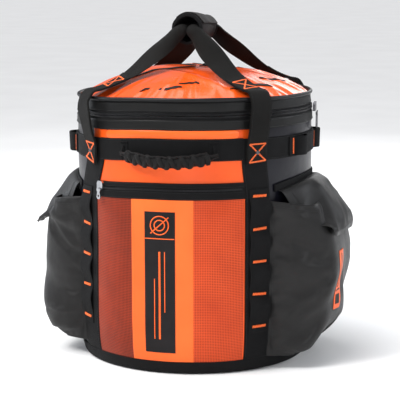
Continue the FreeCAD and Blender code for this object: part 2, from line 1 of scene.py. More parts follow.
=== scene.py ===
import sys
import bpy
import json
import math
import numpy as np
from mathutils import Vector, Matrix
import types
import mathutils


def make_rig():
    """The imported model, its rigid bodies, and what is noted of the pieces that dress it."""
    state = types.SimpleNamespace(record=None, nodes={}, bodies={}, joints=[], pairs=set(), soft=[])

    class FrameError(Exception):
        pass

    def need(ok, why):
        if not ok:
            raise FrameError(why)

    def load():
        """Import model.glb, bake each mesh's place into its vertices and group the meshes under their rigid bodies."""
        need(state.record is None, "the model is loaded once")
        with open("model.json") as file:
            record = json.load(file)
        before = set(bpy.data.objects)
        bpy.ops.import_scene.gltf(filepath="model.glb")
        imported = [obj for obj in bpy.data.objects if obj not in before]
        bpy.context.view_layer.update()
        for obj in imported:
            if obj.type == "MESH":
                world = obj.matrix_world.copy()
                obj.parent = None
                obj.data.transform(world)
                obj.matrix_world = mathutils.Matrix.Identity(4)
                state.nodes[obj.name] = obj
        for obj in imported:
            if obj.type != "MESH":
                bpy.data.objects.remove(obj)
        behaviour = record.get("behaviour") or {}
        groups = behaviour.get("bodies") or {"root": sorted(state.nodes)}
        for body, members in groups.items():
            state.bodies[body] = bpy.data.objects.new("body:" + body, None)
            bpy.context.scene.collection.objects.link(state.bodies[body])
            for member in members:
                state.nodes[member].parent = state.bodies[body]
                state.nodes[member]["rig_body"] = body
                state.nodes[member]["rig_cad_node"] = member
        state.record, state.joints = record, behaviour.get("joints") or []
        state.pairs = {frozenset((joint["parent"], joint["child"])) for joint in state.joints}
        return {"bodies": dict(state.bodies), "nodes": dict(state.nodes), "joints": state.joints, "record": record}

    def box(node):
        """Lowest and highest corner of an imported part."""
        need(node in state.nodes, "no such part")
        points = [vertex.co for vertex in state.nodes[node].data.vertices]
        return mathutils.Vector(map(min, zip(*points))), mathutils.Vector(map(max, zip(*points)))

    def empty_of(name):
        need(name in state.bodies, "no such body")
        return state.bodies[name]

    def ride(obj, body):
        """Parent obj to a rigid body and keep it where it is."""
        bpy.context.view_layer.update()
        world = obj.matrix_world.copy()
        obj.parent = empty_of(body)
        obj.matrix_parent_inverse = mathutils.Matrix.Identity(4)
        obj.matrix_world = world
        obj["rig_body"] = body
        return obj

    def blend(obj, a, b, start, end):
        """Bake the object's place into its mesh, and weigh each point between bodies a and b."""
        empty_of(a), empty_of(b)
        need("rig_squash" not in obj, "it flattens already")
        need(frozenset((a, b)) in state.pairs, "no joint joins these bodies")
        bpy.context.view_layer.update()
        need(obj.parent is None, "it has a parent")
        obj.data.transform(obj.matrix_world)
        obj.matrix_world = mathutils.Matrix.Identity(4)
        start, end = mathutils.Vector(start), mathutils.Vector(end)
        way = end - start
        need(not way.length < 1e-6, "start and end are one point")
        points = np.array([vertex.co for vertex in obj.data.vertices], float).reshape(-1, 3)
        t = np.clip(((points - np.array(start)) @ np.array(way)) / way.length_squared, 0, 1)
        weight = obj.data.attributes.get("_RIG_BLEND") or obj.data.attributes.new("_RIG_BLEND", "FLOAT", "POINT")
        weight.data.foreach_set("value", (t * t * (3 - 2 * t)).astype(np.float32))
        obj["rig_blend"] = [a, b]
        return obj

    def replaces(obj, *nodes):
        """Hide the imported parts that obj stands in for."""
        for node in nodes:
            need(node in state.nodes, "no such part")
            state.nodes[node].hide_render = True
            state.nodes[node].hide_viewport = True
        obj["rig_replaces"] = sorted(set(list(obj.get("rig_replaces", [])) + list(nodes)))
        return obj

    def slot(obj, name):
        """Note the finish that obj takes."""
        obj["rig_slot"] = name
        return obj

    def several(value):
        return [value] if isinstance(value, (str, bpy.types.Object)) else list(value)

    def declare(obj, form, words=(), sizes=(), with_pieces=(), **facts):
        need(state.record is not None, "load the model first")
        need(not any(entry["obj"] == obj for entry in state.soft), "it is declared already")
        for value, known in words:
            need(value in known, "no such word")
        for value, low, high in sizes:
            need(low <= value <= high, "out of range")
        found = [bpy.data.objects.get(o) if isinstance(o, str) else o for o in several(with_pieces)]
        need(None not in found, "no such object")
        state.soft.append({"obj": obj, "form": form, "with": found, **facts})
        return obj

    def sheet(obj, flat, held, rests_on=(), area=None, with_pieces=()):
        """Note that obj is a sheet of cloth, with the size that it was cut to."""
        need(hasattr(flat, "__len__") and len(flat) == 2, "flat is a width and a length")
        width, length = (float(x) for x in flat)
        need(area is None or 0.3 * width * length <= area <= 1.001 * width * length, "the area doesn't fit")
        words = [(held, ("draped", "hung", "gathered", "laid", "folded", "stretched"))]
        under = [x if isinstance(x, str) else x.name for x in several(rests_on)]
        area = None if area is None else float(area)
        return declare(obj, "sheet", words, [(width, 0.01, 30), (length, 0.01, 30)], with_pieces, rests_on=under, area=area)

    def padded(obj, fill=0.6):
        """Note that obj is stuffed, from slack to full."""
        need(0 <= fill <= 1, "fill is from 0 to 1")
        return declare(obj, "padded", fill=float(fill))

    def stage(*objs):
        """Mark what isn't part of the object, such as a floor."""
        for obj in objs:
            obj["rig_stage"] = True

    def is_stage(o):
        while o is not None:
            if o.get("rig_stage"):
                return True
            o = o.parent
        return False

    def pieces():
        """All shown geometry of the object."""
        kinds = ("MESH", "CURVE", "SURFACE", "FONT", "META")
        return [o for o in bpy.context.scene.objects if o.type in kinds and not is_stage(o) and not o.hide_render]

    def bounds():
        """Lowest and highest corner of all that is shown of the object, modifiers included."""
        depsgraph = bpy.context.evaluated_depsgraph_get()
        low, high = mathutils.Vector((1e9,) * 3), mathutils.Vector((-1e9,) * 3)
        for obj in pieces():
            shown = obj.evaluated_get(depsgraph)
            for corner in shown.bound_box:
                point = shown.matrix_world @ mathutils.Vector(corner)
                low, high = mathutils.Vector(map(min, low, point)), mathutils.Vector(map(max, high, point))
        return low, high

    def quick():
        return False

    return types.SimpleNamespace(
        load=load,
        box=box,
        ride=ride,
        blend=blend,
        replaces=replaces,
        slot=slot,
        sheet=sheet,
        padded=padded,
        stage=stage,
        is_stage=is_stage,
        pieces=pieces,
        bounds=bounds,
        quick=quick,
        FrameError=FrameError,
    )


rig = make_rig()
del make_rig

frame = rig.load()
cad_lo, cad_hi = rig.bounds()
for o in list(bpy.data.objects):
    if o.name in ("Cube", "Light", "Camera"):
        bpy.data.objects.remove(o)

TAU = 2 * math.pi
R0 = 0.200
rng = np.random.default_rng(7)

# ------------------------------------------------------------------ small maths


def smooth(a, b, x):
    t = np.clip((np.asarray(x, float) - a) / (b - a), 0, 1)
    return t * t * (3 - 2 * t)


def bump01(a, b, x, soft):
    return smooth(a, a + soft, x) * (1 - smooth(b - soft, b, x))


def lattice(seed, n=64):
    return np.random.default_rng(seed).uniform(-1, 1, (n, n))


def noise2(x, y, seed, octaves=3):
    """Smooth seeded noise of two arrays, about -1..1."""
    x, y = np.asarray(x, float), np.asarray(y, float)
    out, amp, tot = np.zeros(np.broadcast(x, y).shape), 1.0, 0.0
    for k in range(octaves):
        g = lattice(seed * 17 + k)
        n = g.shape[0]
        fx, fy = x * 2 ** k, y * 2 ** k
        ix, iy = np.floor(fx).astype(int), np.floor(fy).astype(int)
        tx, ty = fx - ix, fy - iy
        tx, ty = tx * tx * (3 - 2 * tx), ty * ty * (3 - 2 * ty)
        a = g[ix % n, iy % n] * (1 - tx) + g[(ix + 1) % n, iy % n] * tx
        b = g[ix % n, (iy + 1) % n] * (1 - tx) + g[(ix + 1) % n, (iy + 1) % n] * tx
        out = out + amp * (a * (1 - ty) + b * ty)
        tot += amp
        amp *= 0.5
    return out / tot


def catmull(pts, per=8):
    """Points on a smooth curve through pts."""
    p = np.asarray(pts, float)
    p = np.vstack([2 * p[0] - p[1], p, 2 * p[-1] - p[-2]])
    out = []
    for i in range(1, len(p) - 2):
        t = np.linspace(0, 1, per, endpoint=False)[:, None]
        a, b, c, d = p[i - 1], p[i], p[i + 1], p[i + 2]
        out.append(0.5 * (2 * b + (c - a) * t + (2 * a - 5 * b + 4 * c - d) * t ** 2 + (3 * b - a - 3 * c + d) * t ** 3))
    out.append(p[-2][None])
    return np.vstack(out)


def unit(v):
    v = np.asarray(v, float)
    return v / np.maximum(np.linalg.norm(v, axis=-1, keepdims=True), 1e-12)


# ------------------------------------------------------------------ the drum's wall
_zt = np.array([0.0, 0.003, 0.010, 0.018, 0.030, 0.046, 0.070, 0.095, 0.395, 0.412, 0.4245, 0.449, 0.6])
_rt = np.array([0.1868, 0.1882, 0.1915, 0.1942, 0.1966, 0.1984, 0.1996, 0.2, 0.2, 0.1994, 0.1982, 0.1950, 0.1950])
RD = 0.1946


def wall_r(z):
    return np.interp(z, _zt, _rt)


def sway(th, z):
    """The slow unevenness that the wall and all that is sewn to it share."""
    m = smooth(0.03, 0.10, z) * (1 - smooth(0.33, 0.395, z))
    return m * 0.0011 * noise2(np.cos(th) * 1.6 + 20 + np.asarray(z) * 2, np.sin(th) * 1.6 + np.asarray(z) * 9 + 3, 5, 2)


def wrapa(d):
    return (d + math.pi) % TAU - math.pi


def lean(th, z):
    """The two front columns draw together a little above the pocket."""
    h = smooth(0.285, 0.36, z) * (1 - 0.7 * smooth(0.408, 0.45, z))
    left = np.exp(-((wrapa(th + math.radians(46.7))) / math.radians(23)) ** 2)
    right = np.exp(-((wrapa(th - math.radians(46.7))) / math.radians(20)) ** 2)
    return th + h * (math.radians(6.6) * left - math.radians(2.2) * right)


def slump(th, z):
    """The cloth sags a few millimetres at its front left."""
    a = wrapa(th)
    m = smooth(math.radians(-2), math.radians(-42), a) * (1 - smooth(math.radians(-110), math.radians(-165), a))
    return -0.0050 * m * smooth(0.10, 0.30, z)


def W(s, z, off):
    """Wall place: s along the wall at 200 mm radius from the front, z up, off outwards."""
    s, z, off = np.broadcast_arrays(np.asarray(s, float), np.asarray(z, float), np.asarray(off, float))
    th = s / R0
    r = wall_r(z) + sway(th, z) + off
    ta = lean(th, z)
    return np.stack([r * np.sin(ta), -r * np.cos(ta), z + slump(th, z)], -1)


def W3(p):
    return W(p[..., 0], p[..., 1], p[..., 2])


def arc(deg):
    return math.radians(deg) * R0


# ------------------------------------------------------------------ mesh building
# a geometry is (verts, [faces arrays], [uv arrays])


def join(*gs):
    vs, fs, us, n = [], [], [], 0
    for g in gs:
        v, f, u = g
        vs.append(v)
        fs += [a + n for a in f]
        us += u
        n += len(v)
    return np.vstack(vs), fs, us


def grid(P, uv=None, close_i=False, close_j=False, flip=False):
    """Quads over a grid of points (ni, nj, 3)."""
    ni, nj = P.shape[:2]
    if uv is None:
        di = np.concatenate([[0], np.cumsum(np.linalg.norm(np.diff(P[:, nj // 2], axis=0), axis=-1))])
        dj = np.concatenate([[0], np.cumsum(np.linalg.norm(np.diff(P[ni // 2], axis=0), axis=-1))])
        uv = np.stack(np.meshgrid(di, dj, indexing="ij"), -1)
    mi, mj = (ni if close_i else ni - 1), (nj if close_j else nj - 1)
    i, j = np.meshgrid(np.arange(mi), np.arange(mj), indexing="ij")
    i2, j2 = (i + 1) % ni, (j + 1) % nj
    idx = lambda a, b: a * nj + b
    q = np.stack([idx(i, j), idx(i2, j), idx(i2, j2), idx(i, j2)], -1).reshape(-1, 4)
    stepi = uv[1, 0] - uv[0, 0]
    stepj = uv[0, 1] - uv[0, 0]
    base = uv[i, j]
    ui = np.where((i2 == 0)[..., None], base + stepi, uv[i2, j])
    uj = np.where((j2 == 0)[..., None], base + stepj, uv[i, j2])
    uij = ui + uj - base
    u = np.stack([base, ui, uij, uj], 2).reshape(-1, 4, 2)
    if flip:
        q, u = q[:, ::-1], u[:, ::-1]
    return P.reshape(-1, 3), [q], [u]


def normals(P, close_i=False, close_j=False):
    def grad(ax, closed):
        if closed:
            return np.roll(P, -1, ax) - np.roll(P, 1, ax)
        return np.gradient(P, axis=ax)
    return unit(np.cross(grad(0, close_i), grad(1, close_j)))


def shell(P, t, uv=None, close_i=False, flip=False, N=None):
    """A closed sheet: P outside, a copy t inwards, and rims."""
    n = normals(P, close_i) if N is None else N
    if flip:
        n = -n
    Q = P - n * (t if np.isscalar(t) else np.asarray(t)[..., None])
    a = grid(P, uv, close_i, flip=flip)
    b = grid(Q, uv, close_i, flip=not flip)
    rims = []
    ni, nj = P.shape[:2]
    edges = [(P[:, 0], Q[:, 0], False, close_i), (P[:, -1], Q[:, -1], True, close_i)]
    if not close_i:
        edges += [(P[0], Q[0], True, False), (P[-1], Q[-1], False, False)]
    for e, f, fl, cl in edges:
        m = (e + f) / 2 + unit(e - np.roll(e, 1, 0)) * 0
        rims.append(grid(np.stack([e, f], 1), None, cl, flip=(fl == flip)))
    return join(a, b, *rims)


def sec_flat(a, b, k=8, e=3):
    """A flat strap's closed outline: half width a, half thickness b, round edges."""
    x = np.linspace(-(a - b), a - b, k + 1)
    top = np.stack([x, np.full_like(x, b)], -1)
    ang = np.linspace(90, -90, e + 2)[1:-1] * math.pi / 180
    right = np.stack([(a - b) + b * np.cos(ang), b * np.sin(ang)], -1)
    bottom = top[::-1] * [1, -1]
    left = -right
    return np.vstack([top, right, bottom, left])


def sec_round(r, n=12, b=None):
    a = np.arange(n) * TAU / n
    return np.stack([r * np.cos(a), (b or r) * np.sin(a)], -1)


def sweep(C, A, N, sec, mapf=None, closed=False, caps=True):
    """A section swept along centres C with width directions A and normals N."""
    C, A, N = np.asarray(C, float), np.asarray(A, float), np.asarray(N, float)
    n = len(C)
    A, N = np.broadcast_to(A, (n, 3)), np.broadcast_to(N, (n, 3))
    sec = np.asarray(sec, float)
    if sec.ndim == 2:
        sec = np.broadcast_to(sec, (n,) + sec.shape)
    P = C[:, None] + A[:, None] * sec[..., :1] + N[:, None] * sec[..., 1:2]
    if mapf:
        P = mapf(P)
    m = P.shape[1]
    du = np.concatenate([[0], np.cumsum(np.linalg.norm(np.diff(sec[n // 2], axis=0), axis=-1))])
    mid = P.mean(1)
    dv = np.concatenate([[0], np.cumsum(np.linalg.norm(np.diff(mid, axis=0), axis=-1))])
    uv = np.stack([np.broadcast_to(du, (n, m)), np.broadcast_to(dv[:, None], (n, m))], -1)
    g = grid(P, uv, closed, True)
    if closed or not caps:
        return g
    v, f, u = g
    k = len(v)
    v = np.vstack([v, P[0].mean(0), P[-1].mean(0)])
    j = np.arange(m)
    c0 = np.stack([np.full(m, k), (j + 1) % m, j][::-1], -1)[:, [2, 1, 0]]
    c0 = np.stack([np.full(m, k), j, (j + 1) % m], -1)
    c1 = np.stack([np.full(m, k + 1), (n - 1) * m + (j + 1) % m, (n - 1) * m + j], -1)
    z = np.zeros((m, 3, 2))
    return v, f + [c0, c1], u + [z, z]


def tube(P, r, n=8, closed=False, up=None):
    """A round tube along points, r a number or one radius a point."""
    P = np.asarray(P, float)
    if closed:
        T = unit(np.roll(P, -1, 0) - np.roll(P, 1, 0))
    else:
        T = unit(np.gradient(P, axis=0))
    a = np.zeros_like(P)
    ref = np.array(up if up is not None else [0.13, 0.21, 0.97])
    first = unit(np.cross(T[0], ref))
    cur = first
    for i in range(len(P)):
        cur = unit(cur - T[i] * cur.dot(T[i]))
        a[i] = cur
    b = np.cross(T, a)
    rr = np.broadcast_to(np.asarray(r, float), (len(P),))
    s = sec_round(1.0, n)
    sec = s[None] * rr[:, None, None]
    return sweep(P, a, b, sec, closed=closed)


def orient(g):
    return g


class Dashes:
    """Stitches: small spindles laid along lines, gathered into one mesh."""

    def __init__(self):
        self.P, self.T, self.N, self.L, self.r = [], [], [], [], []

    def line(self, P, N, pitch=0.0036, length=0.0026, r=0.00032, lift=0.0001):
        P, N = np.asarray(P, float), np.asarray(N, float)
        N = np.broadcast_to(N, P.shape)
        d = np.concatenate([[0], np.cumsum(np.linalg.norm(np.diff(P, axis=0), axis=-1))])
        n = max(1, int(d[-1] / pitch))
        t = (np.arange(n) + 0.5) * d[-1] / n
        q = np.stack([np.interp(t, d, P[:, k]) for k in range(3)], -1)
        q2 = np.stack([np.interp(t + 0.0004, d, P[:, k]) for k in range(3)], -1)
        q1 = np.stack([np.interp(t - 0.0004, d, P[:, k]) for k in range(3)], -1)
        nn = unit(np.stack([np.interp(t, d, N[:, k]) for k in range(3)], -1))
        self.P.append(q + nn * lift)
        self.T.append(unit(q2 - q1))
        self.N.append(nn)
        self.L.append(np.full(n, length))
        self.r.append(np.full(n, r))
        return self

    def wall(self, s, z, off, **k):
        p = W(s, z, off)
        n = np.stack([p[..., 0], p[..., 1], 0 * p[..., 0]], -1)
        return self.line(p, unit(n), **k)

    def geom(self):
        P, T, N = np.vstack(self.P), np.vstack(self.T), np.vstack(self.N)
        L, r = np.concatenate(self.L), np.concatenate(self.r)
        B = np.cross(T, N)
        st = np.array([[-0.5, 0.35, -0.6], [-0.28, 1, 0.3], [0.28, 1, 0.3], [0.5, 0.35, -0.6]])
        a = np.arange(5) * TAU / 5
        V = np.zeros((len(P), 4, 5, 3))
        for k, (f, w_, lift) in enumerate(st):
            c = P + T * (L * f)[:, None] + N * (r * lift)[:, None]
            V[:, k] = c[:, None] + (B[:, None] * np.cos(a)[None, :, None] + N[:, None] * np.sin(a)[None, :, None]) * (r * w_)[:, None, None]
        V = V.reshape(-1, 3)
        base = np.arange(len(P))[:, None, None] * 20
        k, j = np.meshgrid(np.arange(3), np.arange(5), indexing="ij")
        q = np.stack([k * 5 + j, k * 5 + (j + 1) % 5, (k + 1) * 5 + (j + 1) % 5, (k + 1) * 5 + j], -1).reshape(1, 15, 4)
        q = (q + base).reshape(-1, 4)[:, ::-1]
        c0 = (np.arange(5)[::-1][None, None] + base).reshape(-1, 5)[:, ::-1]
        c1 = (np.arange(15, 20)[None, None] + base).reshape(-1, 5)[:, ::-1]
        return V, [q, c0[:, ::-1], c1], [np.zeros(q.shape + (2,)), np.zeros(c0.shape + (2,)), np.zeros(c1.shape + (2,))]


def make(name, g, mat, body=None, nodes=(), sharp=40, slot=None, attrs=None):
    v, f, u = g
    me = bpy.data.meshes.new(name)
    me.vertices.add(len(v))
    me.vertices.foreach_set("co", np.ascontiguousarray(v, np.float32).ravel())
    loops = np.concatenate([a.ravel() for a in f]).astype(np.int32)
    counts = np.concatenate([np.full(len(a), a.shape[1]) for a in f]).astype(np.int32)
    starts = np.concatenate([[0], np.cumsum(counts)[:-1]]).astype(np.int32)
    me.loops.add(len(loops))
    me.loops.foreach_set("vertex_index", loops)
    me.polygons.add(len(counts))
    me.polygons.foreach_set("loop_start", starts)
    me.polygons.foreach_set("loop_total", counts)
    me.update(calc_edges=True)
    uvl = me.uv_layers.new(name="UVMap")
    uvl.data.foreach_set("uv", np.concatenate([a.reshape(-1, 2) for a in u]).astype(np.float32).ravel())
    if attrs:
        for key, val in attrs.items():
            at = me.attributes.new(key, "FLOAT", "POINT")
            at.data.foreach_set("value", np.asarray(val, np.float32).ravel())
    me.validate()
    me.polygons.foreach_set("use_smooth", np.ones(len(me.polygons), bool))
    if sharp:
        me.set_sharp_from_angle(angle=math.radians(sharp))
    o = bpy.data.objects.new(name, me)
    bpy.context.scene.collection.objects.link(o)
    fix_normals(me)
    return finish_piece(o, mat, body, nodes, slot)


def fix_normals(me):
    import bmesh
    bm = bmesh.new()
    bm.from_mesh(me)
    bmesh.ops.remove_doubles(bm, verts=bm.verts, dist=2e-6)
    bmesh.ops.recalc_face_normals(bm, faces=bm.faces)
    bm.to_mesh(me)
    bm.free()
    me.update()


def finish_piece(o, mat, body=None, nodes=(), slot=None):
    if mat is not None:
        o.data.materials.clear()
        o.data.materials.append(mat)
    if body:
        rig.ride(o, body)
    if nodes:
        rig.replaces(o, *nodes)
    if slot:
        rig.slot(o, slot)
    return o


# ------------------------------------------------------------------ materials


class Mat:
    def __init__(self, name):
        self.m = bpy.data.materials.new(name)
        self.m.use_nodes = True
        self.nt = self.m.node_tree
        self.nt.nodes.clear()
        self.out = self.add("ShaderNodeOutputMaterial")
        self.b = self.add("ShaderNodeBsdfPrincipled")
        self.nt.links.new(self.b.outputs[0], self.out.inputs[0])

    def add(self, kind, **props):
        n = self.nt.nodes.new(kind)
        for k, v in props.items():
            setattr(n, k, v)
        return n

    def link(self, a, b):
        self.nt.links.new(a, b)

    def set(self, **vals):
        names = {"rough": "Roughness", "metal": "Metallic", "ior": "IOR", "sheen": "Sheen Weight",
                 "sheen_rough": "Sheen Roughness", "coat": "Coat Weight", "coat_rough": "Coat Roughness",
                 "spec": "Specular IOR Level", "alpha": "Alpha"}
        for k, v in vals.items():
            self.b.inputs[names[k]].default_value = v
        return self

    def math(self, op, a, b=None, c=None):
        n = self.add("ShaderNodeMath", operation=op)
        for i, x in enumerate((a, b, c)):
            if x is None:
                continue
            if isinstance(x, (int, float)):
                n.inputs[i].default_value = x
            else:
                self.link(x, n.inputs[i])
        return n.outputs[0]

    def coords(self, kind="Object"):
        if not hasattr(self, "_tc"):
            self._tc = self.add("ShaderNodeTexCoord")
        return self._tc.outputs[kind]

    def xyz(self, vec):
        n = self.add("ShaderNodeSeparateXYZ")
        self.link(vec, n.inputs[0])
        return n.outputs

    def noise(self, scale, detail=3, rough=0.5, coords="Object", dist=0.0):
        n = self.add("ShaderNodeTexNoise")
        n.inputs["Scale"].default_value = scale
        n.inputs["Detail"].default_value = detail
        n.inputs["Roughness"].default_value = rough
        n.inputs["Distortion"].default_value = dist
        self.link(self.coords(coords), n.inputs["Vector"])
        return n.outputs[0]

    def ramp(self, fac, stops):
        n = self.add("ShaderNodeValToRGB")
        cr = n.color_ramp
        while len(cr.elements) < len(stops):
            cr.elements.new(0.5)
        for e, (p, c) in zip(cr.elements, stops):
            e.position = p
            e.color = (*c, 1) if len(c) == 3 else c
        self.link(fac, n.inputs[0])
        return n.outputs[0]

    def rng(self, fac, a, b, lo=0.0, hi=1.0):
        n = self.add("ShaderNodeMapRange")
        n.inputs[1].default_value, n.inputs[2].default_value = lo, hi
        n.inputs[3].default_value, n.inputs[4].default_value = a, b
        self.link(fac, n.inputs[0])
        return n.outputs[0]

    def mix(self, fac, a, b, mode="MIX"):
        n = self.add("ShaderNodeMix", data_type="RGBA", blend_type=mode)
        if isinstance(fac, (int, float)):
            n.inputs[0].default_value = fac
        else:
            self.link(fac, n.inputs[0])
        for i, x in ((6, a), (7, b)):
            if isinstance(x, tuple):
                n.inputs[i].default_value = (*x, 1) if len(x) == 3 else x
            else:
                self.link(x, n.inputs[i])
        return n.outputs[2]

    def bump(self, height, strength, dist, prev=None):
        n = self.add("ShaderNodeBump")
        n.inputs["Strength"].default_value = strength
        n.inputs["Distance"].default_value = dist
        self.link(height, n.inputs["Height"])
        if prev is not None:
            self.link(prev, n.inputs["Normal"])
        return n.outputs[0]

    def attr(self, name):
        n = self.add("ShaderNodeAttribute")
        n.attribute_name = name
        return n.outputs["Fac"]

    def done(self, color=None, rough=None, normal=None):
        if color is not None:
            self.link(color, self.b.inputs["Base Color"])
        if rough is not None:
            self.link(rough, self.b.inputs["Roughness"])
        if normal is not None:
            self.link(normal, self.b.inputs["Normal"])
        return self.m


def m_pvc(name, dark, light, rough=(0.24, 0.42), coat=0.35, scrim=0.0013, crumple=0.0006, cscale=28, strength=0.5):
    """Coated tarpaulin: a faint square scrim under a glossy skin, with soft crumples."""
    m = Mat(name)
    m.set(coat=coat, coat_rough=0.14, spec=0.22)
    col = m.ramp(m.noise(7, 4, 0.55), [(0.3, dark), (0.7, light)])
    x, y, _ = m.xyz(m.coords("UV"))
    k = TAU / scrim
    a = m.math("SINE", m.math("MULTIPLY", x, k))
    b = m.math("SINE", m.math("MULTIPLY", y, k))
    weave = m.math("MULTIPLY", m.math("ADD", m.math("ABSOLUTE", a), m.math("ABSOLUTE", b)), 0.5)
    col = m.mix(m.rng(weave, 0.0, 0.07), col, (0.0, 0.0, 0.0))
    r = m.rng(m.noise(14, 5, 0.6), rough[0], rough[1])
    n = m.bump(m.noise(cscale, 3, 0.5, dist=0.6), strength, crumple)
    n = m.bump(weave, 0.22, 0.00012, n)
    n = m.bump(m.noise(900, 2), 0.10, 0.00005, n)
    return m.done(col, r, n)


def m_web(name, dark, light, pitch=0.0021, rough=0.78, sheen=0.25, strength=0.9):
    """Woven webbing: slanted ribs that turn back along the middle, with painted highlight on the rib crests and painted
    shade in the grooves, and lighter patches at random.
    """
    m = Mat(name)
    m.set(sheen=sheen * 0.06, sheen_rough=0.4, spec=0.12)
    x, y, _ = m.xyz(m.coords("UV"))
    zig = m.math("PINGPONG", m.math("MULTIPLY", x, 1.0), 0.0032)
    rib = m.math("SINE", m.math("MULTIPLY", m.math("ADD", y, m.math("MULTIPLY", zig, 0.9)), TAU / pitch))
    yarn = m.math("SINE", m.math("MULTIPLY", x, TAU / 0.0011))
    h = m.math("ADD", m.math("MULTIPLY", rib, 0.5), m.math("MULTIPLY", yarn, 0.35))
    f = m.rng(h, 0.0, 1.0, -0.85, 0.85)
    # painted highlight and shade: the rib crests are coloured lighter and the grooves darker, following the same height
    # that drives the bump
    col = m.ramp(f, [(0.1, dark), (0.9, light)])
    col = m.mix(m.rng(m.noise(40, 4, 0.6), 0.0, 0.45), col, tuple(min(1, c * 1.6 + 0.001) for c in light))
    n = m.bump(h, strength, 0.00028)
    n = m.bump(m.noise(1400, 2), 0.25, 0.00008, n)
    r = m.rng(m.noise(60, 3), rough - 0.1, rough + 0.1)
    return m.done(col, r, n)


def m_cloth(name, dark, light, yarn=0.0006, rough=0.6, sheen=0.2, crumple=0.0008, cscale=22, coat=0.0, strength=0.5):
    """Plain woven cloth with a light sheen; its yarn crowns are painted lighter, a painted highlight."""
    m = Mat(name)
    m.set(sheen=sheen * 0.1, sheen_rough=0.35, coat=coat, coat_rough=0.32, spec=0.16)
    col = m.ramp(m.noise(11, 5, 0.6), [(0.25, dark), (0.75, light)])
    x, y, _ = m.xyz(m.coords("UV"))
    k = TAU / yarn / 2
    h = m.math("MULTIPLY", m.math("SINE", m.math("MULTIPLY", x, k)), m.math("SINE", m.math("MULTIPLY", y, k)))
    # painted highlight: where the weave height is high, on the yarn crowns, the colour is mixed towards a lighter tone
    col = m.mix(m.rng(h, 0.0, 0.22, -1, 1), col, tuple(min(1, c * 1.8 + 0.001) for c in light))
    n = m.bump(m.noise(cscale, 3, 0.5, dist=0.8), strength, crumple)
    n = m.bump(h, 0.5, 0.00015, n)
    r = m.rng(m.noise(25, 4), rough - 0.12, rough + 0.12)
    return m.done(col, r, n)


def m_thread(name, dark, light, rough=0.45):
    m = Mat(name)
    m.set(sheen=0.05, spec=0.25)
    x, y, _ = m.xyz(m.coords("Object"))
    tw = m.math("SINE", m.math("MULTIPLY", m.math("ADD", m.math("ADD", x, y), _), TAU / 0.0007))
    # painted highlight and shade along the twist: the crests are coloured lighter and the grooves darker, following the
    # same wave as the bump
    col = m.ramp(m.rng(tw, 0, 1, -1, 1), [(0.15, dark), (0.8, light)])
    n = m.bump(tw, 0.5, 0.0001)
    return m.done(col, m.rng(m.noise(90), rough - 0.1, rough + 0.15), n)


def m_plastic(name, dark, light, rough=(0.35, 0.55), grain=0.00006, spec=0.5):
    m = Mat(name)
    m.set(spec=spec)
    col = m.ramp(m.noise(30, 4), [(0.3, dark), (0.7, light)])
    n = m.bump(m.noise(1600, 2), 0.35, grain)
    n = m.bump(m.noise(60, 3), 0.15, 0.0003, n)
    return m.done(col, m.rng(m.noise(45, 4), *rough), n)


def m_metal(name, dark, light, rough=(0.14, 0.34)):
    m = Mat(name)
    m.set(metal=1.0)
    f = m.noise(120, 5, 0.65)
    col = m.ramp(f, [(0.25, dark), (0.75, light)])
    n = m.bump(m.noise(700, 3), 0.12, 0.00006)
    return m.done(col, m.rng(m.noise(160, 4), *rough), n)


ORANGE = m_pvc("coated_orange", (0.84, 0.085, 0.008), (0.96, 0.120, 0.013), (0.24, 0.38), 0.20, crumple=0.0012, cscale=26, strength=0.6)
LID = m_pvc("coated_orange_lid", (0.86, 0.080, 0.007), (0.98, 0.115, 0.012), (0.20, 0.32), 0.50, crumple=0.0020, cscale=17, strength=0.7)
STRIP = m_pvc("coated_orange_strip", (0.92, 0.120, 0.014), (1.0, 0.165, 0.026), (0.34, 0.46), 0.10, crumple=0.0006, cscale=14, strength=0.4)
BLACK = m_pvc("coated_black", (0.0035, 0.0035, 0.0065), (0.008, 0.008, 0.014), (0.26, 0.40), 0.07, crumple=0.0014, cscale=24, strength=0.6)
BAND = m_pvc("coated_black_band", (0.003, 0.003, 0.003), (0.007, 0.007, 0.007), (0.45, 0.62), 0.02, crumple=0.0004, cscale=40, strength=0.4)
WEB = m_web("webbing_black", (0.0018, 0.0018, 0.002), (0.0075, 0.0075, 0.008))
CARRY = m_web("webbing_carry", (0.0022, 0.0021, 0.0020), (0.0095, 0.0090, 0.0085), pitch=0.0024)
POUCH = m_cloth("pocket_cloth", (0.006, 0.0057, 0.0057), (0.013, 0.0125, 0.0125), rough=0.46, sheen=0.15, coat=0.16, crumple=0.0030, cscale=20)
WRAP = m_cloth("wrap_cloth", (0.0035, 0.0030, 0.0030), (0.010, 0.0075, 0.0075), yarn=0.0009, rough=0.7, crumple=0.0012, cscale=45)
PAD = m_cloth("pad_mesh", (0.006, 0.006, 0.0065), (0.016, 0.016, 0.017), yarn=0.0022, rough=0.8, sheen=0.3, crumple=0.0004, cscale=60)
LINER = m_cloth("liner_cloth", (0.36, 0.36, 0.35), (0.46, 0.46, 0.44), yarn=0.0008, rough=0.5, sheen=0.05, coat=0.15, crumple=0.0012, cscale=14)
BOARD = m_plastic("board", (0.020, 0.020, 0.022), (0.035, 0.035, 0.038))
THREAD = m_thread("orange_thread", (0.80, 0.10, 0.015), (1.0, 0.21, 0.05))
BTHREAD = m_thread("black_thread", (0.006, 0.006, 0.007), (0.030, 0.030, 0.032))
COIL = m_plastic("zip_coil", (0.004, 0.004, 0.005), (0.012, 0.012, 0.014), (0.24, 0.40), spec=0.35)
PIPING = m_plastic("piping", (0.003, 0.003, 0.0035), (0.007, 0.007, 0.008), (0.38, 0.52), spec=0.25)
METAL = m_metal("zip_metal", (0.30, 0.31, 0.33), (0.58, 0.59, 0.61))
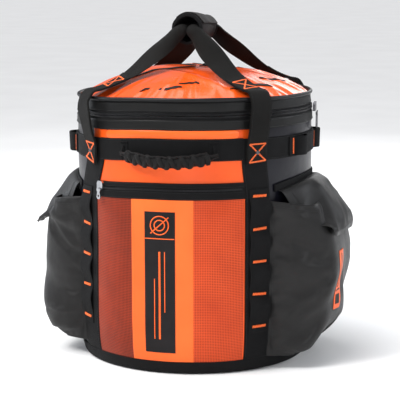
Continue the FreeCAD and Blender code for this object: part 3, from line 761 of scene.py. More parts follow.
RIVET = m_metal("rivet", (0.05, 0.05, 0.055), (0.14, 0.14, 0.15), (0.2, 0.4))
BUCKLE = m_plastic("buckle", (0.004, 0.004, 0.004), (0.010, 0.010, 0.010), (0.3, 0.5), spec=0.3)
GRIP = m_cloth("grip_cord", (0.0025, 0.0022, 0.0022), (0.008, 0.0075, 0.0075), yarn=0.0011, rough=0.6, sheen=0.2, crumple=0.0002, cscale=90)
PRINT = m_plastic("print_black", (0.004, 0.0035, 0.0035), (0.008, 0.007, 0.007), (0.35, 0.5), spec=0.2)
BADGE = m_plastic("badge_black", (0.005, 0.004, 0.0045), (0.010, 0.009, 0.010), (0.45, 0.6), spec=0.2)
BADGE_O = m_plastic("badge_orange", (0.86, 0.11, 0.015), (0.96, 0.15, 0.026), (0.38, 0.52), spec=0.25)



def m_mesh(name, gap, gap2, thr, thr2, pitch=0.0027):
    """Orange open mesh: bright threads, with the gaps between them painted darker as painted shade for the open holes.
    """
    m = Mat(name)
    m.set(coat=0.06, coat_rough=0.2, spec=0.14)
    x, y, _ = m.xyz(m.coords("UV"))
    a = m.math("ABSOLUTE", m.math("SINE", m.math("MULTIPLY", x, math.pi / pitch)))
    b = m.math("ABSOLUTE", m.math("SINE", m.math("MULTIPLY", y, math.pi / pitch)))
    hole = m.math("MULTIPLY", a, b)
    f = m.rng(hole, 1.0, 0.0, 0.30, 0.62)
    # painted shade: the gap colour stands for the shaded space seen through the open holes of the mesh
    dark = m.ramp(m.noise(9, 4, 0.6), [(0.30, gap), (0.72, gap2)])
    lit = m.ramp(m.noise(12, 4, 0.6), [(0.30, thr), (0.75, thr2)])
    col = m.mix(f, dark, lit)
    n = m.bump(m.noise(26, 3, 0.5, dist=0.7), 0.55, 0.0012)
    n = m.bump(f, 0.6, 0.0003, n)
    return m.done(col, m.rng(m.noise(20, 4), 0.26, 0.46), n)


# painted shade: the left pocket is the same orange mesh as the right one, coloured darker all over with near-black gaps
MESH_L = m_mesh("mesh_left", (0.030, 0.008, 0.004), (0.105, 0.015, 0.006), (0.27, 0.027, 0.008), (0.44, 0.045, 0.012))
MESH_R = m_mesh("mesh_right", (0.22, 0.024, 0.006), (0.36, 0.036, 0.009), (0.62, 0.065, 0.015), (0.80, 0.100, 0.024))

# ------------------------------------------------------------------ camera, light, floor
scn = bpy.context.scene
cam_data = bpy.data.cameras.new("camera")
cam = bpy.data.objects.new("camera", cam_data)
scn.collection.objects.link(cam)
cam_data.sensor_width = 36
cam_data.lens = 130.626
cam_data.clip_end = 200
cam.location = (0.66881, -2.39438, 0.66750)
cam.rotation_euler = Vector((-0.262046, 0.951232, -0.162758)).to_track_quat("-Z", "Y").to_euler()
scn.camera = cam
scn.view_settings.view_transform = "Standard"
scn.view_settings.look = "None"

world = bpy.data.worlds.new("studio")
scn.world = world
world.use_nodes = True
bg = world.node_tree.nodes["Background"]
bg.inputs[0].default_value = (0.93, 0.95, 1.0, 1)
bg.inputs[1].default_value = 0.30


def area(name, loc, aim, size, power, color=(1, 1, 1), size_y=None):
    d = bpy.data.lights.new(name, "AREA")
    d.energy = power
    d.color = color
    d.size = size
    if size_y:
        d.shape = "RECTANGLE"
        d.size_y = size_y
    o = bpy.data.objects.new(name, d)
    scn.collection.objects.link(o)
    o.location = loc
    o.rotation_euler = (Vector(aim) - Vector(loc)).to_track_quat("-Z", "Y").to_euler()
    return o


area("key", (-1.15, -1.35, 2.0), (0, 0, 0.30), 0.7, 36, (1.0, 0.99, 0.97))
area("fill", (2.2, -1.4, 1.2), (0, 0, 0.25), 1.0, 17, (0.96, 0.98, 1.0))
area("front", (0.6, -2.9, 0.6), (0, 0, 0.22), 1.4, 9)
area("top", (-0.25, 0.35, 2.2), (0, 0, 0.3), 1.2, 10)
area("rim_left", (-2.0, 0.5, 0.9), (0, 0, 0.25), 0.8, 14, (0.88, 0.93, 1.0))
area("rim_right", (1.9, 1.0, 1.2), (0, 0, 0.3), 0.8, 14, (0.92, 0.95, 1.0))
area("back", (0.4, 2.6, 1.4), (0, 0, 0.25), 1.2, 14)
sun = bpy.data.lights.new("sun", "SUN")
sun.energy = 2.0
sun.angle = 0.9
sun_o = bpy.data.objects.new("sun", sun)
scn.collection.objects.link(sun_o)
sun_o.rotation_euler = Vector((0.40, 0.25, -1.0)).to_track_quat("-Z", "Y").to_euler()

fm = Mat("floor")
fm.b.inputs["Roughness"].default_value = 0.8
fm.done(fm.ramp(fm.noise(3, 2), [(0.3, (0.90, 0.90, 0.90)), (0.7, (0.94, 0.94, 0.94))]))
bpy.ops.mesh.primitive_circle_add(vertices=96, radius=60.0, fill_type="NGON", location=(0, 0, -0.0002))
floor = bpy.context.object
floor.name = "floor"
floor.data.materials.append(fm.m)
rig.stage(floor)


# ------------------------------------------------------------------ closed sheets
def closed(P, Q, uv=None, close_i=False):
    """A closed solid between an outer grid P and an inner grid Q."""
    a = grid(P, uv, close_i)
    b = grid(Q, uv, close_i, flip=True)
    gs = [a, b]
    for e, f in ((P[:, 0], Q[:, 0]), (P[:, -1], Q[:, -1])):
        gs.append(grid(np.stack([e, f], 1), None, close_i))
    if not close_i:
        for e, f in ((P[0], Q[0]), (P[-1], Q[-1])):
            gs.append(grid(np.stack([e, f], 1)))
    return join(*gs)


def spaced(a, b, step, edge=(0.0006, 0.0016, 0.003)):
    """Even places from a to b, with closer ones at both ends."""
    if b - a < 0.012:
        return np.linspace(a, b, 7)
    n = max(2, int(round((b - a - 2 * edge[-1]) / step)))
    mid = np.linspace(a + edge[-1], b - edge[-1], n + 1)
    return np.concatenate([[a], a + np.array(edge[:-1]), mid, (b - np.array(edge[:-1]))[::-1], [b]])


def patch(s0, s1, z0, z1, o0, o1, fn=None, ds=0.005, dz=0.005, press=0.45, place=None, uv0=(0, 0)):
    """A flat piece on the wall from s0 to s1 and z0 to z1, its edges pressed down a little."""
    s, z = spaced(s0, s1, ds), spaced(z0, z1, dz)
    S, Z = np.meshgrid(s, z, indexing="ij")
    d = np.minimum(np.minimum(S - s0, s1 - S), np.minimum(Z - z0, z1 - Z))
    off = o0 + (o1 - o0) * (1 - press * (1 - smooth(0, 0.0014, d)))
    if fn is not None:
        off = off + fn(S, Z)
    inner = np.full_like(off, o0)
    if place is not None:
        S2, Z2 = place(S, Z)
    else:
        S2, Z2 = S, Z
    uv = np.stack([S + uv0[0], Z + uv0[1]], -1)
    return closed(W(S2, Z2, off), W(S2, Z2, inner), uv)


def instances(tv, tf, O, A, B, C):
    """Copies of a small closed form at places O with axes A, B, C (already scaled)."""
    tv = np.asarray(tv, float)
    n, m = len(O), len(tv)
    V = O[:, None] + tv[None, :, :1] * A[:, None] + tv[None, :, 1:2] * B[:, None] + tv[None, :, 2:3] * C[:, None]
    V = V.reshape(-1, 3)
    fs, us = [], []
    for f in tf:
        f = np.asarray(f)
        a = (f[None] + (np.arange(n) * m)[:, None, None]).reshape(-1, f.shape[1])
        fs.append(a)
        us.append(np.zeros(a.shape + (2,)))
    return V, fs, us


def bead(nseg=8, prof=((-1, 0.0), (-0.92, 0.55), (-0.6, 0.9), (0, 1), (0.6, 0.9), (0.92, 0.55), (1, 0.0))):
    """A rounded closed form along its first axis, -1 to 1."""
    v, f4, f3 = [], [], []
    rings = prof[1:-1]
    for x, r in rings:
        for k in range(nseg):
            a = TAU * k / nseg
            v.append((x, r * math.cos(a), r * math.sin(a)))
    n = len(v)
    v += [(prof[0][0], 0, 0), (prof[-1][0], 0, 0)]
    for i in range(len(rings) - 1):
        for k in range(nseg):
            f4.append((i * nseg + k, i * nseg + (k + 1) % nseg, (i + 1) * nseg + (k + 1) % nseg, (i + 1) * nseg + k))
    for k in range(nseg):
        f3.append((n, (k + 1) % nseg, k))
        b = (len(rings) - 1) * nseg
        f3.append((n + 1, b + k, b + (k + 1) % nseg))
    return v, [f4, f3]


def block(bev=0.25):
    """A block -1..1 with bevelled edges, closed."""
    v = []
    for x in (-1, 1):
        for y in (-1, 1):
            for z in (-1, 1):
                v.append((x, y, z))
    import itertools
    pts, faces = [], []
    b = bev
    idx = {}
    for c in v:
        for ax in range(3):
            p = [c[k] * (1 - b) for k in range(3)]
            p[ax] = c[ax]
            idx[(c, ax)] = len(pts)
            pts.append(tuple(p))
    quads, tris = [], []
    for ax in range(3):
        o = [k for k in range(3) if k != ax]
        for sgn in (-1, 1):
            cs = []
            for s1_, s2_ in ((-1, -1), (1, -1), (1, 1), (-1, 1)):
                c = [0, 0, 0]
                c[ax] = sgn
                c[o[0]], c[o[1]] = s1_, s2_
                cs.append(idx[(tuple(c), ax)])
            quads.append(cs)
    for c in v:
        tris.append([idx[(c, 0)], idx[(c, 1)], idx[(c, 2)]])
    for ax in range(3):
        o = [k for k in range(3) if k != ax]
        for s1_, s2_ in itertools.product((-1, 1), repeat=2):
            c0, c1 = [0, 0, 0], [0, 0, 0]
            c0[o[0]] = c1[o[0]] = s1_
            c0[o[1]] = c1[o[1]] = s2_
            c0[ax], c1[ax] = -1, 1
            c0, c1 = tuple(c0), tuple(c1)
            quads.append([idx[(c0, o[0])], idx[(c1, o[0])], idx[(c1, o[1])], idx[(c0, o[1])]])
    return pts, [quads, tris]


def wall_frames(s, z, off):
    """Places on the wall with tangent, up and outward axes."""
    s, z, off = np.broadcast_arrays(np.asarray(s, float), np.asarray(z, float), np.asarray(off, float))
    O = W(s, z, off)
    th = s / R0
    T = np.stack([np.cos(th), np.sin(th), 0 * th], -1)
    N = np.stack([np.sin(th), -np.cos(th), 0 * th], -1)
    U = np.zeros_like(O)
    U[..., 2] = 1
    return O.reshape(-1, 3), T.reshape(-1, 3), U.reshape(-1, 3), N.reshape(-1, 3)


def cloth_pass(P, pin, press, cap, shrink=0.0, flip=False, frames=20):
    """Run a sheet through the cloth solver, pinned at its seams, and give back its new places."""
    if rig.quick():
        return P
    ni, nj = P.shape[:2]
    idx = np.arange(ni * nj).reshape(ni, nj)
    F = np.stack([idx[:-1, :-1], idx[1:, :-1], idx[1:, 1:], idx[:-1, 1:]], -1).reshape(-1, 4)
    if flip:
        F = F[:, ::-1]
    me = bpy.data.meshes.new("cloth_work")
    me.from_pydata(P.reshape(-1, 3).tolist(), [], F.tolist())
    o = bpy.data.objects.new("cloth_work", me)
    bpy.context.scene.collection.objects.link(o)
    grp = o.vertex_groups.new(name="pin")
    grp.add(np.nonzero(pin.reshape(-1))[0].tolist(), 1.0, "REPLACE")
    md = o.modifiers.new("Cloth", "CLOTH")
    st = md.settings
    st.vertex_group_mass = "pin"
    st.use_pressure = True
    st.uniform_pressure_force = press
    st.effector_weights.gravity = 0
    st.quality = 4
    st.shrink_min = shrink
    md.collision_settings.use_collision = False
    md.collision_settings.use_self_collision = False
    sc = bpy.context.scene
    sc.frame_start, sc.frame_end = 1, frames
    md.point_cache.frame_start, md.point_cache.frame_end = 1, frames
    for f in range(1, frames + 1):
        sc.frame_set(f)
    ev = o.evaluated_get(bpy.context.evaluated_depsgraph_get())
    Q = np.zeros(ni * nj * 3)
    ok = len(ev.data.vertices) == ni * nj
    if ok:
        ev.data.vertices.foreach_get("co", Q)
    sc.frame_set(1)
    bpy.data.objects.remove(o)
    bpy.data.meshes.remove(me)
    if not ok or not np.isfinite(Q).all():
        print("CLOTH PASS SKIPPED")
        return P
    D = Q.reshape(P.shape) - P
    D[pin] = 0
    L = np.linalg.norm(D, axis=-1, keepdims=True) + 1e-12
    D = D * (cap * np.tanh(L / cap) / L)
    for _ in range(2):
        E = D.copy()
        E[1:-1, 1:-1] = 0.5 * D[1:-1, 1:-1] + 0.125 * (D[:-2, 1:-1] + D[2:, 1:-1] + D[1:-1, :-2] + D[1:-1, 2:])
        D = E
    D[pin] = 0
    print("CLOTH PASS moved", float(np.linalg.norm(D, axis=-1).max()), float(np.linalg.norm(D, axis=-1).mean()))
    return P + D


# ================================================================== the drum
def wall_panel(name, a0, a1, mat, slot, seed, amp):
    s, z = spaced(arc(a0), arc(a1), 0.0045), np.concatenate([[0.003, 0.006, 0.010], np.linspace(0.014, 0.418, 96)])
    S, Z = np.meshgrid(s, z, indexing="ij")
    d = np.minimum(np.minimum(S - s[0], s[-1] - S), np.minimum(Z - 0.02, 0.345 - Z))
    m = smooth(0.006, 0.05, d)
    k = noise2(S * 9 + seed, Z * 5 + 2, seed, 3)
    k = k + 0.6 * (1 - 2 * np.abs(noise2((S * 14 + Z * 7), (Z * 5 - S * 3) + 9, seed + 3, 2)))
    off = amp * m * (k - 0.55)
    P = W(S, Z, off)
    Q = W(S, Z, off * 0.5 - 0.0016)
    make(name, closed(P, Q, np.stack([S, Z], -1)), mat, "drum", [name.replace("_shell", "")], slot=slot)


wall_panel("front_panel_shell", -46.7, 46.7, ORANGE, "orange_coated", 11, 0.0006)
wall_panel("right_side_panel_shell", 46.7, 133.3, BLACK, "black_coated", 23, 0.0022)
wall_panel("back_panel_shell", 133.3, 226.7, BLACK, "black_coated", 35, 0.0012)
wall_panel("left_side_panel_shell", 226.7 - 360 + 0, 313.3 - 360, BLACK, "black_coated", 47, 0.0022)


def revolve(prof, n=288, fn=None, a0=0.0, a1=360.0, uvs=True):
    """A closed profile of (r, z) turned round Z from a0 to a1 degrees."""
    prof = np.asarray(prof, float)
    full = abs(a1 - a0) >= 359.9
    th = np.linspace(math.radians(a0), math.radians(a1), n + 1)
    if full:
        th = th[:-1]
    T, R = np.meshgrid(th, prof[:, 0], indexing="ij")
    Z = np.broadcast_to(prof[:, 1], T.shape)
    if fn is not None:
        R, Z = fn(T, R, Z)
    P = np.stack([R * np.sin(T), -R * np.cos(T), Z], -1)
    dl = np.concatenate([[0], np.cumsum(np.linalg.norm(np.diff(prof, axis=0), axis=-1))])
    uv = np.stack([T * R0, np.broadcast_to(dl, T.shape)], -1)
    g = grid(P, uv, full, True)
    if full:
        return g
    v, f, u = g
    k, m = len(v), len(prof)
    v = np.vstack([v, P[0].mean(0), P[-1].mean(0)])
    j = np.arange(m)
    c0 = np.stack([np.full(m, k), j, (j + 1) % m], -1)
    c1 = np.stack([np.full(m, k + 1), (len(th) - 1) * m + (j + 1) % m, (len(th) - 1) * m + j], -1)
    z = np.zeros((m, 3, 2))
    return v, f + [c0, c1], u + [z, z]


# liner: a pale coated cloth, loose inside the wall
s = np.linspace(0, TAU * R0, 300)[:-1]
z = np.linspace(0.007, 0.4185, 90)
S, Z = np.meshgrid(s, z, indexing="ij")
TH = S / R0
wr = smooth(0.01, 0.05, Z) * (1 - smooth(0.385, 0.415, Z))
fold = 0.0022 * wr * (noise2(TH * 3.2, Z * 3, 61, 3) + 0.5 * noise2(TH * 12, Z * 9, 63, 2))
rin = wall_r(Z) - 0.0034 - np.abs(fold) - 0.0006
P = np.stack([rin * np.sin(TH), -rin * np.cos(TH), Z], -1)
ro = rin + 0.0005
Q = np.stack([ro * np.sin(TH), -ro * np.cos(TH), Z], -1)
make("wall_liner_cloth", closed(P, Q, np.stack([S, Z], -1), True), LINER, "drum", ["wall_liner"], slot="liner")

# bottom: a coated disc with a slight crown, its binding, and the board inside
r = np.concatenate([[1e-7], np.linspace(0.004, 0.17, 36), [0.176, 0.181, 0.1845, 0.187, 0.188]])
th = np.linspace(0, TAU, 181)[:-1]
T, R = np.meshgrid(th, r, indexing="ij")
zb = 0.0004 + 0.0009 * smooth(0.188, 0.17, R) * 0 + 0.0005 * (1 + noise2(R * np.cos(T) * 20 + 9, R * np.sin(T) * 20 + 9, 71)) * (1 - smooth(0.14, 0.18, R))
P = np.stack([R * np.sin(T), -R * np.cos(T), zb], -1)
Q = np.stack([R * np.sin(T), -R * np.cos(T), np.full_like(zb, 0.003)], -1)
g = closed(P, Q, P[..., :2], True)
make("base_cloth", g, BLACK, "drum", ["base_panel"], slot="black_coated")
bp = [(0.1835, 0.0006), (0.1885, 0.0006), (0.1912, 0.0016), (0.1932, 0.0040), (0.1946, 0.0085), (0.1958, 0.0140), (0.1967, 0.0195), (0.1968, 0.0212), (0.1962, 0.0216), (0.1953, 0.0212), (0.1944, 0.0150), (0.1932, 0.0095), (0.1916, 0.0050), (0.1900, 0.0028), (0.1880, 0.0020), (0.1835, 0.0018)]


def hand(T, R, Z):
    return R + 0.00035 * noise2(T * 6, Z * 60, 73, 2), Z + 0.0005 * smooth(0.01, 0.02, Z) * noise2(T * 4, Z * 0, 77, 2)


make("base_binding_tape", revolve(bp, 360, hand), WEB, "drum", ["base_binding"], slot="black_webbing")
bst = Dashes()
a = np.linspace(0, TAU, 721) * R0
for zz in (0.0175,):
    bst.wall(a, zz, 0.0026, pitch=0.0042, length=0.0030, r=0.00035)
O_ST, B_ST = Dashes(), Dashes()

# ------------------------------------------------------------------ front: mesh, strip, badge, zip


def billow(seed, a, k=9):
    def f(S, Z):
        m = smooth(0, 0.03, S - S.min()) * smooth(0, 0.03, S.max() - S) * smooth(0.02, 0.07, Z) * (1 - smooth(0.262, 0.288, Z))
        n1 = noise2(S * k + Z * 4, Z * k * 0.6 - S * 3, seed, 3)
        n2 = 1 - 2 * np.abs(noise2(S * 12 - Z * 9, Z * 6 + S * 4, seed + 5, 2))
        return a * m * (0.9 + 0.55 * n1 + 0.35 * n2)
    return f


make("mesh_left_cloth", patch(arc(-38.0), arc(-14.6), 0.0215, 0.2905, 0.0003, 0.0012, billow(81, 0.0012), 0.003, 0.003, 0.1), MESH_L, "drum", ["front_mesh_left"], slot="mesh_orange")
make("mesh_right_cloth", patch(arc(14.6), arc(38.5), 0.0215, 0.2905, 0.0003, 0.0012, billow(87, 0.0012), 0.003, 0.003, 0.1), MESH_R, "drum", ["front_mesh_right"], slot="mesh_orange")


def strip_f(S, Z):
    return 0.0006 * noise2(S * 14 + Z * 6, Z * 5, 91, 2) * smooth(0.03, 0.07, Z) * (1 - smooth(0.25, 0.285, Z))


make("front_strip_cloth", patch(arc(-15), arc(15), 0.0215, 0.2908, 0.0009, 0.0019, strip_f, 0.004, 0.005), STRIP, "drum", ["front_strip"], slot="orange_coated")
for sx in (-15, 15):
    zz = np.linspace(0.026, 0.289, 90)
    ss = np.full_like(zz, arc(sx) - math.copysign(0.003, sx))
    O_ST.wall(ss, zz, 0.0019 + strip_f(ss, zz), pitch=0.0042, length=0.003, r=0.00028)


def badge_f(S, Z):
    return strip_f(S, Z)


make("front_badge_patch", patch(arc(-8), arc(6.5), 0.037, 0.270, 0.0017, 0.0028, badge_f, 0.004, 0.005, 0.2), BADGE, "drum", ["front_badge"], slot="badge")
bars = [patch(arc(-7.8), arc(6.3), 0.2255, 0.2270, 0.0026, 0.0033, badge_f, 0.004, 0.004, 0.1)]
# a plain generic mark: two nested leaf outlines in the small field, and plain bars in the long one


def wall_ribbon(pts, w, o0, o1, fn):
    """A thin flat line on the wall along (s, z) points."""
    c = catmull(pts, 8)
    t = unit(np.gradient(c, axis=0))
    nrm = np.stack([-t[:, 1], t[:, 0]], -1)
    ww = np.broadcast_to(np.asarray(w, float), (len(c),))[:, None]
    a, b = c + nrm * ww, c - nrm * ww
    S = np.stack([a[:, 0], b[:, 0]], 1)
    Z = np.stack([a[:, 1], b[:, 1]], 1)
    f = fn(S, Z)
    return closed(W(S, Z, o1 + f), W(S, Z, o0 + f), np.stack([S, Z], -1))


bc = arc(-0.75)
for k, (hw, hh) in enumerate(((0.0150, 0.0150), (0.0085, 0.0085))):
    ang = np.linspace(0, TAU, 25)
    sh = np.stack([bc + hw * np.sin(ang), 0.2480 + hh * np.cos(ang)], -1)
    bars.append(wall_ribbon(sh, 0.0009, 0.0026, 0.0033, badge_f))
bars.append(wall_ribbon([(bc - 0.015, 0.2345), (bc, 0.248), (bc + 0.015, 0.2615)], 0.0009, 0.0026, 0.0034, badge_f))
for zz0, zz1, dx, hw in ((0.060, 0.205, 0.000, 0.0016), (0.060, 0.160, -0.0085, 0.0007), (0.105, 0.205, 0.0085, 0.0007)):
    bars.append(patch(bc + dx - hw, bc + dx + hw, zz0, zz1, 0.0026, 0.0033, badge_f, 0.004, 0.005, 0.1))
make("badge_lines", join(*bars), BADGE_O, "drum", slot="badge")

# pocket zip: two tapes, teeth between
zt = [patch(arc(-39.5), arc(39.5), 0.2895, 0.3035, 0.0012, 0.0026, None, 0.006, 0.004), patch(arc(-39.5), arc(39.5), 0.3078, 0.3165, 0.0012, 0.0026, None, 0.006, 0.004),
      patch(arc(-39.5), arc(39.5), 0.3020, 0.3092, 0.0008, 0.0016, None, 0.006, 0.004)]
make("pocket_zip_tapes", join(*zt), WEB, "drum", ["pocket_zip_tape"], slot="black_webbing")


def teeth(name, s0, s1, z, off, body, nodes, hz=0.0020, hr=0.0009, pitch=0.0021, slot_="zip_coil"):
    n = int((s1 - s0) / pitch)
    s = s0 + (np.arange(n) + 0.5) * (s1 - s0) / n
    side = np.where(np.arange(n) % 2 == 0, 1.0, -1.0)
    O, T, U, N = wall_frames(s, z + side * hz * 0.28, off)
    tv, tf = bead(6)
    g = instances(tv, tf, O, U * hz, T * (pitch * 0.46), N * hr)
    return make(name, g, COIL, body, nodes, slot=slot_)


teeth("pocket_zip_teeth", arc(-38), arc(38), 0.3056, 0.0024, "drum", ["pocket_zip_coil"])
for zz in (0.2915, 0.3012, 0.3098, 0.3150):
    a = np.linspace(arc(-39), arc(39), 200)
    B_ST.wall(a, zz, 0.0026, pitch=0.0034, length=0.0024, r=0.00026)

# ------------------------------------------------------------------ bands
band_f = lambda sd: (lambda S, Z: 0.0003 * noise2(S * 9, Z * 20, sd, 2))
make("front_band_tape", patch(arc(-40.1), arc(40.1), 0.352, 0.388, 0.0004, 0.0022, band_f(3), 0.006, 0.004), WEB, "drum", ["front_band"], slot="black_webbing")
make("right_side_band_tape", patch(arc(51.0), arc(126.7), 0.350, 0.386, 0.0006, 0.0022, band_f(4), 0.006, 0.004), WEB, "drum", ["right_side_band"], slot="black_webbing")
make("left_side_band_tape", patch(arc(-126.7), arc(-51.0), 0.350, 0.386, 0.0006, 0.0022, band_f(5), 0.006, 0.004), WEB, "drum", ["left_side_band"], slot="black_webbing")
make("back_band_tape", patch(arc(139.9), arc(220.1), 0.350, 0.386, 0.0006, 0.0022, band_f(6), 0.006, 0.004), WEB, "drum", ["back_band"], slot="black_webbing")
for a0, a1 in ((-40, 40), (53.5, 126.5), (-126.5, -53.5), (140, 220)):
    for zz in (0.3525, 0.3845):
        zz = zz + (0.0012 if abs(a0) == 40 else 0)
        aa = np.linspace(arc(a0), arc(a1), 200)
        B_ST.wall(aa, zz, 0.0022, pitch=0.0034, length=0.0024, r=0.00028)

# orange trim window between the bands, its ends rounded
n = 90
c = np.linspace(arc(-35), arc(38), n)
hh, rr = 0.0066, 0.0066
x = np.minimum(np.minimum(c - c[0], c[-1] - c), rr)
half = hh - rr + np.sqrt(np.maximum(rr ** 2 - (rr - x) ** 2, 1e-10))
c = np.concatenate([[c[0] + 0.0003], c[0] + np.array([0.001, 0.002, 0.0035, 0.005]), c[1:-1][(c[1:-1] > c[0] + 0.0066) & (c[1:-1] < c[-1] - 0.0066)], c[-1] - np.array([0.005, 0.0035, 0.002, 0.001]), [c[-1] - 0.0003]])
x = np.minimum(np.minimum(c - arc(-35), arc(38) - c), rr)
half = hh - rr + np.sqrt(np.maximum(rr ** 2 - (rr - x) ** 2, 1e-10))
v = np.linspace(-1, 1, 9)
S = np.broadcast_to(c[:, None], (len(c), 9))
Z = 0.3945 + half[:, None] * v[None]
off = 0.0016 + 0.0012 * (1 - v[None] ** 2) + 0.0004 * noise2(S * 30, Z * 40, 17, 2)
make("front_trim_cloth", closed(W(S, Z, off), W(S, Z, np.full_like(off, 0.0004)), np.stack([S, Z], -1)), STRIP, "drum", ["front_trim"], slot="orange_coated")


def zb_f(S, Z):
    return 0.0004 * noise2(S * 5, Z * 30, 19, 2)


def ring_patch(z0, z1, o0, o1, fn=None, n=300, a0=0.0, a1=360.0, m=9, press=0.4):
    s = np.linspace(a0, a1, n + 1) * math.pi / 180 * R0
    full = abs(a1 - a0) > 359
    if full:
        s = s[:-1]
    z = np.concatenate([[z0, z0 + 0.0006], np.linspace(z0 + 0.0016, z1 - 0.0016, m), [z1 - 0.0006, z1]])
    S, Z = np.meshgrid(s, z, indexing="ij")
    d = np.minimum(Z - z0, z1 - Z)
    off = o0 + (o1 - o0) * (1 - press * (1 - smooth(0, 0.0014, d)))
    if fn is not None:
        ph = S / R0
        off = off + fn(np.sin(ph) * 0.2 + 0.5, np.cos(ph) * 0.2 + 0.5 + Z)
    return closed(W(S, Z, off), W(S, Z, np.full_like(off, o0)), np.stack([S, Z], -1), full)


make("zip_band_tape", ring_patch(0.4015, 0.4175, 0.0003, 0.0021, zb_f, 360), BAND, "drum", ["zip_band"], slot="black_webbing")
ringt = np.linspace(0, TAU, 720) * R0
for zz in (0.4035, 0.4155):
    B_ST.wall(ringt, zz, 0.0021, pitch=0.0036, length=0.0026, r=0.0003)

# main zip: lower tape and teeth on the drum, upper tape and teeth on the lid
make("lower_zip_tape", ring_patch(0.4165, 0.4222, 0.0001, 0.0013, None, 300, -146, 146, 5), WEB, "drum", slot="black_webbing")


def ring_teeth(name, z, off, side, body, nodes):
    s0, s1 = arc(-146), arc(146)
    pitch = 0.0024
    n = int((s1 - s0) / pitch)
    k = np.arange(n) + (0.5 if side > 0 else 0.0)
    s = s0 + k * (s1 - s0) / n
    O, T, U, N = wall_frames(s, z, off)
    tv, tf = bead(6)
    make(name, instances(tv, tf, O, U * 0.00175, T * 0.00085, N * 0.0010), COIL, body, nodes, slot="zip_coil")


ring_teeth("lower_zip_teeth", 0.42255, 0.0019, -1, "drum", ["lower_zip_coil"])
ring_teeth("upper_zip_teeth", 0.42635, 0.0019, 1, "lid", ["upper_zip_coil"])
make("upper_zip_tape", ring_patch(0.4264, 0.4315, 0.0001, 0.0013, None, 360, 0, 360, 5), WEB, "lid", slot="black_webbing")

# hinge tape at the back: one cloth across the joint
o = make("lid_hinge_cloth", ring_patch(0.4135, 0.4350, 0.0022, 0.0036, None, 90, 147, 213, 22), WEB, None, ["lid_hinge_tape"], slot="black_webbing")
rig.blend(o, "drum", "lid", (0, 0.2036, 0.4185), (0, 0.2036, 0.4305))

# ------------------------------------------------------------------ the four columns
TACKS = [0.077 + 0.054 * k for k in range(5)]


def col_webbing(c):
    lo_, hi_ = {-46.7: (6.2, 9.6), 46.7: (7.3, 6.2)}.get(c, (6.4, 6.4))
    s0, s1 = arc(c - lo_), arc(c + hi_)
    return patch(s0, s1, 0.0215, 0.387, 0.0005, 0.0021, band_f(int(c) % 50 + 60), 0.0045, 0.005)


def daisy(c):
    """The outer webbing: flat at each tack, bowed a little between, fuller low in each loop."""
    s = spaced(arc(c - 5.2), arc(c + 5.2), 0.0045)
    z = np.linspace(0.066, 0.304, 150)
    S, Z = np.meshgrid(s, z, indexing="ij")
    bow = np.zeros_like(Z)
    for k in range(4):
        t = np.clip((Z - TACKS[k] - 0.003) / (0.054 - 0.006), 0, 1)
        t2 = t ** 1.35
        amp = (0.0060, 0.0070, 0.0056, 0.0064)[k] * (0.93 + 0.1 * math.sin(c + k * 2.1))
        bow = bow + amp * np.sin(math.pi * t2) ** 1.15
    d = np.minimum(S - s[0], s[-1] - S)
    slant = 1 + 0.16 * (S - arc(c)) / 0.018 * math.sin(c * 0.7)
    off = 0.0021 + bow * slant
    th = 0.0016 * (1 - 0.35 * (1 - smooth(0, 0.0013, d)))
    return closed(W(S, Z, off + th), W(S, Z, off), np.stack([S, Z], -1))


def zigzag_bar(O, A, B, N, half, wid, rows=13):
    """A bartack: a dense row of thread loops, as one mesh of beads."""
    k = (np.arange(rows) + 0.5) / rows * 2 - 1
    tv, tf = bead(5)
    P = O[None] + A[None] * (k * half)[:, None]
    lean = np.where(np.arange(rows) % 2 == 0, 0.22, -0.22)
    ax = unit(B[None] + A[None] * lean[:, None])
    return instances(tv, tf, P + N[None] * 0.0002, ax * wid, np.cross(N, ax) * (half / rows * 1.08), np.broadcast_to(N, P.shape) * 0.00048)


def tack_bar(c, z, off, half=0.0125, wid=0.0024, skew=0.0):
    O, T, U, N = wall_frames(arc(c), z, off)
    T, U, N = T[0], U[0], N[0]
    A = T * math.cos(skew) + U * math.sin(skew)
    B = -T * math.sin(skew) + U * math.cos(skew)
    # the bar follows the wall's bend
    parts = []
    rows = 17
    k = (np.arange(rows) + 0.5) / rows * 2 - 1
    O2, T2, U2, N2 = wall_frames(arc(c) + k * half * math.cos(skew), z + k * half * math.sin(skew), off)
    lean = np.where(np.arange(rows) % 2 == 0, 0.20, -0.20)[:, None]
    ax = unit(U2 + T2 * lean)
    tv, tf = bead(5)
    return instances(tv, tf, O2 + N2 * 0.0002, ax * wid, np.cross(N2, ax) * (half / rows * 1.12), N2 * 0.0008)


def hour_paths(half_w, z0, z1):
    """The outline: two triangles that meet at a point, as closed lines in (u, v)."""
    zm = (z0 + z1) / 2
    return [[(-half_w, z0), (half_w, z0), (0.0, zm), (-half_w, z0)], [(-half_w, z1), (half_w, z1), (0.0, zm), (-half_w, z1)]]


